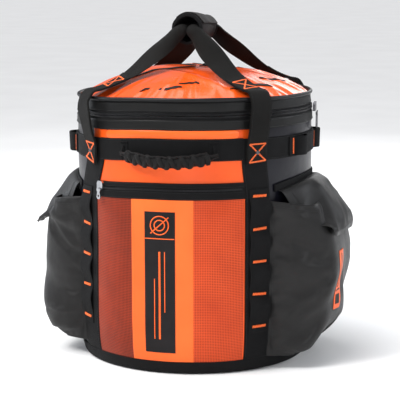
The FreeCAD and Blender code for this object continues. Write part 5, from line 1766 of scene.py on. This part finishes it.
def pouch(sgn):
    side = {1: "right", -1: "left"}[sgn]
    c = catmull(PLAN, 14)
    d = np.concatenate([[0], np.cumsum(np.linalg.norm(np.diff(c, axis=0), axis=-1))])
    u = np.linspace(0, d[-1], 150)
    px, py = np.interp(u, d, c[:, 0]), np.interp(u, d, c[:, 1])
    if sgn > 0:
        prof = catmull([(0.1990, 0.0240), (0.2070, 0.0320), (0.2190, 0.0450), (0.2335, 0.062), (0.2440, 0.080), (0.2540, 0.110), (0.2605, 0.145), (0.2625, 0.180), (0.2605, 0.205), (0.2540, 0.228), (0.2430, 0.251), (0.2290, 0.2745)], 10)
    else:
        prof = catmull([(0.1985, 0.0300), (0.2040, 0.0350), (0.2130, 0.0455), (0.2240, 0.059), (0.2335, 0.075), (0.2420, 0.100), (0.2465, 0.140), (0.2475, 0.185), (0.2440, 0.212), (0.2385, 0.232), (0.2320, 0.250), (0.2240, 0.2690)], 10)
        prof[:, 0] = 0.1985 + (prof[:, 0] - 0.1985) * 0.88
    pd = np.concatenate([[0], np.cumsum(np.linalg.norm(np.diff(prof, axis=0), axis=-1))])
    nv = 86
    vv = np.linspace(0, pd[-1], nv)
    pX, pZ = np.interp(vv, pd, prof[:, 0]), np.interp(vv, pd, prof[:, 1])
    bottom = 9
    U_, _ = np.meshgrid(u, np.arange(bottom + nv), indexing="ij")
    PX, PY = np.broadcast_to(px[:, None], U_.shape), np.broadcast_to(py[:, None], U_.shape)
    X, Z = np.zeros_like(U_), np.zeros_like(U_)
    Xw_b = np.sqrt(np.maximum((float(wall_r(prof[0, 1])) - 0.0006) ** 2 - PY ** 2, 0.12 ** 2))
    for j in range(bottom):
        g_ = j / bottom
        xe = soft_min(PX[:, j], np.full(len(u), prof[0, 0]), 0.006)
        X[:, j] = Xw_b[:, j] + (np.maximum(xe, Xw_b[:, j] + 0.001) - Xw_b[:, j]) * g_
        Z[:, j] = prof[0, 1] - 0.0005 - 0.0010 * math.sin(math.pi * g_)
    for j in range(nv):
        X[:, bottom + j] = soft_min(PX[:, 0], np.full(len(u), pX[j]), 0.016 if 6 < j < nv - 12 else 0.010)
        Z[:, bottom + j] = pZ[j]
    # the hem runs up a little towards its two sewn ends
    ends_ = 1 - smooth(0.0, 0.075, np.minimum(U_, u[-1] - U_))
    Z = Z + 0.0075 * ends_ * smooth(pd[-1] - 0.10, pd[-1], np.concatenate([np.zeros(bottom), vv])[None])
    Xw = np.sqrt(np.maximum((wall_r(Z) + 0.0006) ** 2 - PY ** 2, 0.10 ** 2))
    X = np.maximum(X, np.minimum(Xw + 0.0004, PX + 0.004))
    # seams stay, cloth between them creases: fine wrinkles, long diagonal folds, a low sag
    vrow = np.concatenate([np.zeros(bottom), vv])[None]
    free = smooth(0.004, 0.035, U_) * (1 - smooth(u[-1] - 0.035, u[-1] - 0.004, U_)) * smooth(0.0, 0.03, vrow) * (1 - 0.75 * smooth(pd[-1] - 0.03, pd[-1] - 0.002, vrow))
    low = 1 - smooth(0.06, 0.20, Z)
    uu = U_ - u[-1] / 2
    sd = 141 if sgn > 0 else 157
    f1 = 1 - 2.2 * np.abs(noise2(uu * 6 + (Z - 0.15) * 9 * np.sign(uu), (Z * 5 - np.abs(uu) * 6) + 4, sd, 2))
    f2 = noise2(uu * 11 + Z * 5, Z * 9 - uu * 4, sd + 1, 3)
    f3 = 1 - 2.2 * np.abs(noise2(uu * 3 + 8, Z * 13 + np.abs(uu) * 9, sd + 2, 2))
    amp = (0.0062 * low + 0.0040) * f1 + 0.0030 * f2 + 0.0052 * low * f3
    amp = amp - 0.0012 + 0.0020 * np.exp(-((Z - 0.12) / 0.07) ** 2)
    P = np.stack([X, PY, Z], -1)
    n = normals(P)
    if (n[..., 0] * (P[..., 0] - 0.15)).mean() < 0:
        n = -n
    P = P + n * (amp * free)[..., None]
    pin = (np.broadcast_to(U_, P.shape[:2]) < 0.006) | (U_ > u[-1] - 0.006)
    pin[:, :bottom + 2] = True
    pin[:, -2:] = True
    nn = normals(P)
    P = cloth_pass(P, pin, 8, 0.0042, -0.055, flip=(nn[..., 0] * (P[..., 0] - 0.15)).mean() < 0)
    rp = np.hypot(P[..., 0], P[..., 1])
    need = np.maximum(wall_r(P[..., 2]) + 0.0008 - rp, 0) * smooth(0.0, 0.006, U_) * (1 - smooth(u[-1] - 0.006, u[-1], U_))
    P[..., 0] += need
    hem = smooth(pd[-1] - 0.0145, pd[-1] - 0.0138, vrow)
    edge = 1 - smooth(pd[-1] - 0.0012, pd[-1], vrow)
    n = normals(P)
    if (n[..., 0] * (P[..., 0] - 0.15)).mean() < 0:
        n = -n
    Po = P + n * (0.0009 * hem * np.broadcast_to(edge, hem.shape))[..., None]
    Pi = P - n * 0.0013
    rot = np.array([sgn, sgn, 1.0])
    uv = np.stack([U_, np.broadcast_to(vrow, U_.shape)], -1)
    o = make(f"{side}_pocket_cloth", closed(Po * rot, Pi * rot, uv), POUCH, "drum", [f"{side}_pocket"], slot="black_pocket")
    st = Dashes()
    for back in (0.0125, 0.0105):
        j = bottom + int(np.argmin(np.abs(vv - (pd[-1] - back))))
        st.line((Po[3:-3, j] + n[3:-3, j] * 0.0002) * rot, n[3:-3, j] * rot, pitch=0.0036, length=0.0026, r=0.00028)
    for i in (4, len(u) - 5):
        st.line((Po[i, bottom:] + n[i, bottom:] * 0.0002) * rot, n[i, bottom:] * rot, pitch=0.0036, length=0.0026, r=0.00028)
    make(f"{side}_pocket_stitch", st.geom(), BTHREAD, "drum", slot="black_pocket")
    return Po * rot, n * rot, uv, bottom, u, vv


def on_grid(P, N, i0, i1, j0, j1, ni, nj, lift):
    ii, jj = np.linspace(i0, i1, ni), np.linspace(j0, j1, nj)
    I, J = np.meshgrid(ii, jj, indexing="ij")
    a, b = np.floor(I).astype(int), np.floor(J).astype(int)
    a, b = np.clip(a, 0, P.shape[0] - 2), np.clip(b, 0, P.shape[1] - 2)
    fi, fj = (I - a)[..., None], (J - b)[..., None]
    def s(G):
        return (G[a, b] * (1 - fi) + G[a + 1, b] * fi) * (1 - fj) + (G[a, b + 1] * (1 - fi) + G[a + 1, b + 1] * fi) * fj
    p, n = s(P), unit(s(N))
    return p + n * lift, p + n * (lift - 0.0006)


RP = pouch(1)
LP = pouch(-1)
# a plain orange patch on the right pouch
Pg, Ng, uvg, bt, ug, vg = RP
i0, i1 = np.interp([0.137, 0.167], ug, np.arange(len(ug)))
j0, j1 = bt + np.interp([0.085, 0.185], vg, np.arange(len(vg)))
a_, b_ = on_grid(Pg, Ng, i0, i1, j0, j1, 24, 50, 0.0007)
make("right_pocket_patch", closed(a_, b_), BADGE_O, "drum", slot="badge")
ln = []
for f0, f1, g0, g1 in ((0.12, 0.88, 0.30, 0.325), (0.42, 0.58, 0.36, 0.94), (0.2, 0.8, 0.08, 0.24)):
    a_, b_ = on_grid(Pg, Ng, i0 + (i1 - i0) * f0, i0 + (i1 - i0) * f1, j0 + (j1 - j0) * g0, j0 + (j1 - j0) * g1, 12, 24, 0.0010)
    ln.append(closed(a_, b_))
make("right_pocket_patch_bars", join(*ln), BADGE, "drum", slot="badge")

# ------------------------------------------------------------------ pouch flaps
RFL = [(0.2005, 0.0), (0.206, 0.0020), (0.214, 0.0010), (0.224, -0.008), (0.236, -0.0235), (0.248, -0.0385), (0.2585, -0.052), (0.2655, -0.065), (0.2685, -0.078), (0.2680, -0.0885)]
LFL = [(0.2005, 0.0), (0.206, 0.0010), (0.215, -0.005), (0.226, -0.019), (0.238, -0.036), (0.249, -0.053), (0.258, -0.069), (0.266, -0.083), (0.2705, -0.093)]


def root_z(v):
    return 0.3085 - 0.0110 * np.asarray(v) ** 2


def flap(sgn):
    side = {1: "right", -1: "left"}[sgn]
    L = catmull(RFL if sgn > 0 else LFL, 8)
    dl = np.concatenate([[0], np.cumsum(np.linalg.norm(np.diff(L, axis=0), axis=-1))])
    t = spaced(0, dl[-1], 0.0032)
    Lx, Lz = np.interp(t, dl, L[:, 0]), np.interp(t, dl, L[:, 1])
    hw = np.interp(Lx, [0.2005, 0.206, 0.262, 0.300], [0.105, 0.1045, 0.086, 0.080])
    vs = spaced(-1, 1, 0.045, (0.008, 0.02, 0.036))
    V, TI = np.meshgrid(vs, np.arange(len(t)), indexing="ij")
    lx, lz, hh_, tt = Lx[TI], Lz[TI], hw[TI], t[TI] / dl[-1]
    Y = V * hh_
    yr = V * 0.105
    xr = np.sqrt(0.2008 ** 2 - yr ** 2)
    Y = Y * (1 - 0.07 * smooth(dl[-1] - 0.016, dl[-1], t[TI]) ** 2)
    tipx = Lx.max() - 0.011 * np.abs(V) ** 3
    X = xr + (lx - 0.2005) * (tipx - xr) / (Lx.max() - 0.2005)
    # the sides fall away sooner
    fr = (V * -sgn) if sgn > 0 else V
    v3 = np.abs(V) ** 3
    Z = root_z(V) + lz * (1 - 0.22 * v3) - 0.035 * v3 * (smooth(0.0, 0.20, tt) - 0.86 * smooth(0.36, 1.0, tt)) + 0.004 * (1 - V ** 2) * np.sin(math.pi * tt) * 0.4
    sd = 171 if sgn > 0 else 183
    m = smooth(0.05, 0.3, tt)
    w1 = 1 - 2 * np.abs(noise2(V * 1.5 + 2, tt * 1.1 + V * 0.6, sd, 2))
    w2 = noise2(V * 3.2 + tt * 2.1, tt * 3.0, sd + 1, 2)
    P = np.stack([X, Y, Z], -1)
    n = normals(P)
    if n[..., 2].mean() < 0:
        n = -n
    P = P + n * (m * (0.0042 * w1 + 0.0028 * w2 - 0.0006))[..., None]
    d = np.minimum((1 - np.abs(V)) * 0.09, dl[-1] - t[TI])
    th_ = 0.0016 - 0.0006 * (1 - smooth(0, 0.0014, d)) + 0.0006 * (1 - smooth(0.0118, 0.0126, d)) * smooth(0, 0.001, d)
    Pi = P - n * th_[..., None]
    rot = np.array([sgn, sgn, 1.0])
    uv = np.stack([V * 0.105, np.broadcast_to(t, V.shape)], -1)
    o = make(f"{side}_flap_cloth", closed(P * rot, Pi * rot, uv), POUCH, None, [f"{side}_flap"], slot="black_pocket")
    a_, b_ = ("drum", f"{side}_flap")
    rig.blend(o, a_, b_, (sgn * 0.190, 0, 0.309), (sgn * 0.224, 0, 0.309))
    st = Dashes()
    for back in (0.0105, 0.0122):
        ring = []
        k = int(np.argmin(np.abs(t - (dl[-1] - back))))
        i0_ = int(np.argmin(np.abs(vs + (1 - back / 0.09))))
        i1_ = int(np.argmin(np.abs(vs - (1 - back / 0.09))))
        for G in (P[i0_:i1_ + 1, k], P[i0_, 3:k + 1], P[i1_, 3:k + 1]):
            pass
        st.line((P[i0_:i1_ + 1, k] + n[i0_:i1_ + 1, k] * 0.0001) * rot, n[i0_:i1_ + 1, k] * rot, pitch=0.0036, length=0.0026, r=0.00028)
        for i_ in (i0_, i1_):
            st.line((P[i_, 3:k + 1] + n[i_, 3:k + 1] * 0.0001) * rot, n[i_, 3:k + 1] * rot, pitch=0.0036, length=0.0026, r=0.00028)
    cloth_o = o
    o = make(f"{side}_flap_stitch", st.geom(), BTHREAD, None, slot="black_pocket")
    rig.blend(o, a_, b_, (sgn * 0.190, 0, 0.309), (sgn * 0.224, 0, 0.309))
    e1, e2 = P[1:, :-1] - P[:-1, :-1], P[:-1, 1:] - P[:-1, :-1]
    cut = float(np.linalg.norm(np.cross(e1, e2), axis=-1).sum())
    wide = float(np.linalg.norm(np.diff(P, axis=0), axis=-1).sum(0).max())
    long_ = float(np.linalg.norm(np.diff(P, axis=1), axis=-1).sum(1).max())
    print("SHEET", side, wide, long_, cut)
    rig.sheet(cloth_o, flat=(wide, long_), held="draped", rests_on=[f"{side}_pocket_cloth"], area=cut, with_pieces=[o])


flap(1)
flap(-1)
hems = []
for c in (90, -90):
    def place(S, Z, c=c):
        return S, Z + root_z((S - arc(c)) / arc(34)) - 0.3085
    hems.append(patch(arc(c - 34), arc(c + 34), 0.3065, 0.3185, 0.0006, 0.0024, None, 0.005, 0.003, place=place))
make("pocket_hem_tapes", join(*hems), WEB, "drum", ["pocket_hems"], slot="black_pocket")

# ================================================================== back: pad, shoulder straps, tails, adjusters
sgrid, zgrid = spaced(arc(152.2), arc(207.8), 0.0022), spaced(0.0705, 0.3395, 0.0026)
S, Z = np.meshgrid(sgrid, zgrid, indexing="ij")
s0_, s1_, z0_, z1_ = sgrid[0], sgrid[-1], zgrid[0], zgrid[-1]
d = np.minimum(np.minimum(S - s0_, s1_ - S), np.minimum(Z - z0_, z1_ - Z))
u_ = (S - s0_ - 0.012) / ((s1_ - s0_ - 0.024) / 3)
v_ = (Z - z0_ - 0.012) / ((z1_ - z0_ - 0.024) / 5)
inside_ = (d > 0.012)
cu, cv = np.abs(np.sin(math.pi * u_)), np.abs(np.sin(math.pi * v_))
crown = np.where(inside_, (1 - (1 - cu) ** 2.6) * (1 - (1 - cv) ** 2.6), 0.0)
crown = crown * (1 + 0.14 * noise2(S * 24, Z * 24, 191, 2)) + 0.05 * noise2(S * 60, Z * 60, 192, 2) * crown
roll = 0.0022 * np.sin(math.pi * np.clip(d / 0.011, 0, 1)) * (d < 0.011)
puff = 0.0052 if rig.quick() else 0.0036
off = 0.0012 + puff * np.clip(crown, 0, 1.3) + roll
P = cloth_pass(W(S, Z, off), crown < 0.10, 900, 0.0042)
Q = W(S, Z, np.full_like(off, 0.0002))
pad_o = make("back_pad_cushion", closed(P, Q, np.stack([S, Z], -1)), PAD, "drum", ["back_pad"], slot="pad_mesh")
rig.padded(pad_o, fill=0.5)
for k in (1, 2):
    zz = np.linspace(z0_ + 0.013, z1_ - 0.013, 120)
    B_ST.wall(np.full_like(zz, s0_ + 0.012 + k * (s1_ - s0_ - 0.024) / 3), zz, 0.0014, pitch=0.0034, length=0.0024, r=0.00028)
for k in (1, 2, 3, 4):
    aa = np.linspace(s0_ + 0.013, s1_ - 0.013, 120)
    B_ST.wall(aa, z0_ + 0.012 + k * (z1_ - z0_ - 0.024) / 5, 0.0014, pitch=0.0034, length=0.0024, r=0.00028)

SP = [(0.1900, 0.3808), (0.2060, 0.3808), (0.2205, 0.3748), (0.2310, 0.3600), (0.2385, 0.3350), (0.2412, 0.3000), (0.2412, 0.2600), (0.2410, 0.2150), (0.2370, 0.1830), (0.2310, 0.1520), (0.2245, 0.1255)]
strap_st = Dashes()
for sgn, nm in ((1, "right"), (-1, "left")):
    c = catmull(SP, 10)
    d = np.concatenate([[0], np.cumsum(np.linalg.norm(np.diff(c, axis=0), axis=-1))])
    t = np.linspace(0, d[-1], 150)
    y, z = np.interp(t, d, c[:, 0]), np.interp(t, d, c[:, 1])
    xc = sgn * (0.068 + 0.0015 * np.sin(t * 14))
    C = np.stack([xc, y, z], -1)
    D = unit(np.gradient(C, axis=0))
    A = unit(np.array([1.0, 0, 0]) - D * D[:, :1])
    N = np.cross(A, D)
    if N[75, 1] < 0:
        N = -N
    full = smooth(0, 0.02, t) * (1 - smooth(d[-1] - 0.018, d[-1], t))
    k = 24
    ang = np.arange(k) * TAU / k
    cs, sn = np.cos(ang), np.sin(ang)
    hw_ = 0.0215 + 0.0038 * full
    hb = 0.0018 + 0.0036 * full
    puff = 1 + 0.05 * noise2(t * 30, t * 0, 201, 2)
    sec = np.zeros((len(t), k, 2))
    sec[:, :, 0] = np.sign(cs) * np.abs(cs) ** 0.5 * hw_[:, None]
    sec[:, :, 1] = np.sign(sn) * np.abs(sn) ** 0.8 * (hb * puff)[:, None]
    body = sweep(C, A, N, sec)
    # bound edge and a webbing down the middle
    o = make(f"{nm}_shoulder_strap_pad", body, PAD, "drum", [f"{nm}_shoulder_strap"], slot="pad_mesh")
    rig.padded(o, fill=0.6)
    up = hb * puff + 0.0004
    mid = sweep(C + N * up[:, None], A, N, sec_flat(0.0125, 0.0007))
    edges = []
    for e in (-1, 1):
        Ce = C + A * (e * (hw_ - 0.0005))[:, None]
        edges.append(sweep(Ce, A, N, sec_round(0.0030, 10, 0.0026)))
    make(f"{nm}_strap_webbing", join(mid, *edges), WEB, "drum", slot="black_webbing")
    for u in (-0.0105, 0.0105):
        strap_st.line(C + N * (up + 0.0008)[:, None] + A * u, N, pitch=0.0036, length=0.0026, r=0.00028)
make("shoulder_strap_stitch", strap_st.geom(), BTHREAD, "drum", slot="black_webbing")

TL = [(0.2330, 0.1330), (0.2305, 0.1240), (0.2252, 0.1120), (0.2165, 0.0880), (0.2072, 0.0625), (0.1985, 0.0545), (0.1890, 0.0500)]
tails, adj = [], []
for sgn in (1, -1):
    c = catmull(TL, 8)
    C = np.stack([np.full(len(c), sgn * 0.068), c[:, 0], c[:, 1]], -1)
    D = unit(np.gradient(C, axis=0))
    tails.append(sweep(C, [1.0, 0, 0], np.cross([1.0, 0, 0], D), sec_flat(0.0125, 0.0009)))
    # the loose end, folded and hanging behind the adjuster
    e = catmull([(0.2325, 0.1130), (0.2350, 0.1000), (0.2352, 0.0840), (0.2335, 0.0680), (0.2318, 0.0560)], 8)
    C = np.stack([np.full(len(e), sgn * 0.068), e[:, 0], e[:, 1]], -1)
    D = unit(np.gradient(C, axis=0))
    tails.append(sweep(C, [1.0, 0, 0], np.cross([1.0, 0, 0], D), sec_flat(0.0125, 0.0009)))
    # three-bar slide
    o0, up_, out_ = np.array([sgn * 0.068, 0.2316, 0.1140]), unit(np.array([0, 0.24, 0.97])), unit(np.array([0, 0.97, -0.24]))
    w_, h_ = 0.0165, 0.0108
    ang = np.linspace(0, TAU, 49)[:-1]
    rr_ = np.stack([np.sign(np.cos(ang)) * np.abs(np.cos(ang)) ** 0.35 * w_, np.sign(np.sin(ang)) * np.abs(np.sin(ang)) ** 0.35 * h_], -1)
    ring = o0 + np.array([1.0, 0, 0]) * rr_[:, :1] + up_ * rr_[:, 1:2]
    Tn = unit(np.roll(ring, -1, 0) - np.roll(ring, 1, 0))
    adj.append(sweep(ring, np.cross(Tn, out_), out_, sec_round(0.0021, 10, 0.0017), closed=True))
    for k in (-0.0032, 0.0038):
        xs = np.linspace(-w_ + 0.0005, w_ - 0.0005, 9)
        bar = o0 + up_ * k + np.array([1.0, 0, 0]) * xs[:, None] + out_ * (0.0006 * np.cos(xs / w_ * 1.5))[:, None]
        adj.append(sweep(bar, up_, out_, sec_round(0.0020, 10, 0.0014)))
make("strap_tail_webbing", join(*tails), WEB, "drum", ["strap_tails"], slot="black_webbing")
make("strap_slides", join(*adj), BUCKLE, "drum", ["strap_adjusters"], slot="buckle")

# a webbing tab that holds the anchor ring inside the back wall
tab = catmull([(0.1935, 0.158), (0.1930, 0.140), (0.1915, 0.128), (0.1868, 0.1215), (0.1815, 0.1210), (0.1800, 0.1235), (0.1845, 0.1250), (0.1890, 0.1300), (0.1910, 0.142), (0.1915, 0.158)], 6)
C = np.stack([np.zeros(len(tab)), tab[:, 0], tab[:, 1]], -1)
D = unit(np.gradient(C, axis=0))
make("rope_anchor_tab", sweep(C, [1.0, 0, 0], np.cross([1.0, 0, 0], D), sec_flat(0.009, 0.0006)), WEB, "drum", slot="black_webbing")

make("orange_stitches", O_ST.geom(), THREAD, "drum", slot="orange_thread")
make("black_stitches", B_ST.geom(), BTHREAD, "drum", slot="black_webbing")
make("lid_stitches", B_LID.geom(), BTHREAD, "lid", slot="black_webbing")

# ------------------------------------------------------------------ CAD nodes that stay, with their finish
KEEP = {
    "base_board": BOARD, "rope_anchor_loop": METAL,
    "lid_slider_a": RIVET, "lid_slider_b": RIVET, "lid_pull_a": RIVET, "lid_pull_b": RIVET,
    "pocket_slider": METAL, "pocket_pull": METAL,
}
for n_, ob in frame["nodes"].items():
    mt = KEEP.get(n_)
    if mt is None and not ob.hide_render:
        print("NODE WITHOUT FINISH", n_)
        mt = WEB
    if mt is not None:
        ob.data.materials.clear() if False else None
        for sl in ob.material_slots:
            sl.material = mt
        if not ob.material_slots:
            ob.data.materials.append(mt)

new_lo, new_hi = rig.bounds()
with open("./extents.json", "w") as fh:
    json.dump({"cad": [[float(x) for x in cad_lo], [float(x) for x in cad_hi]], "visual": [[float(x) for x in new_lo], [float(x) for x in new_hi]]}, fh)
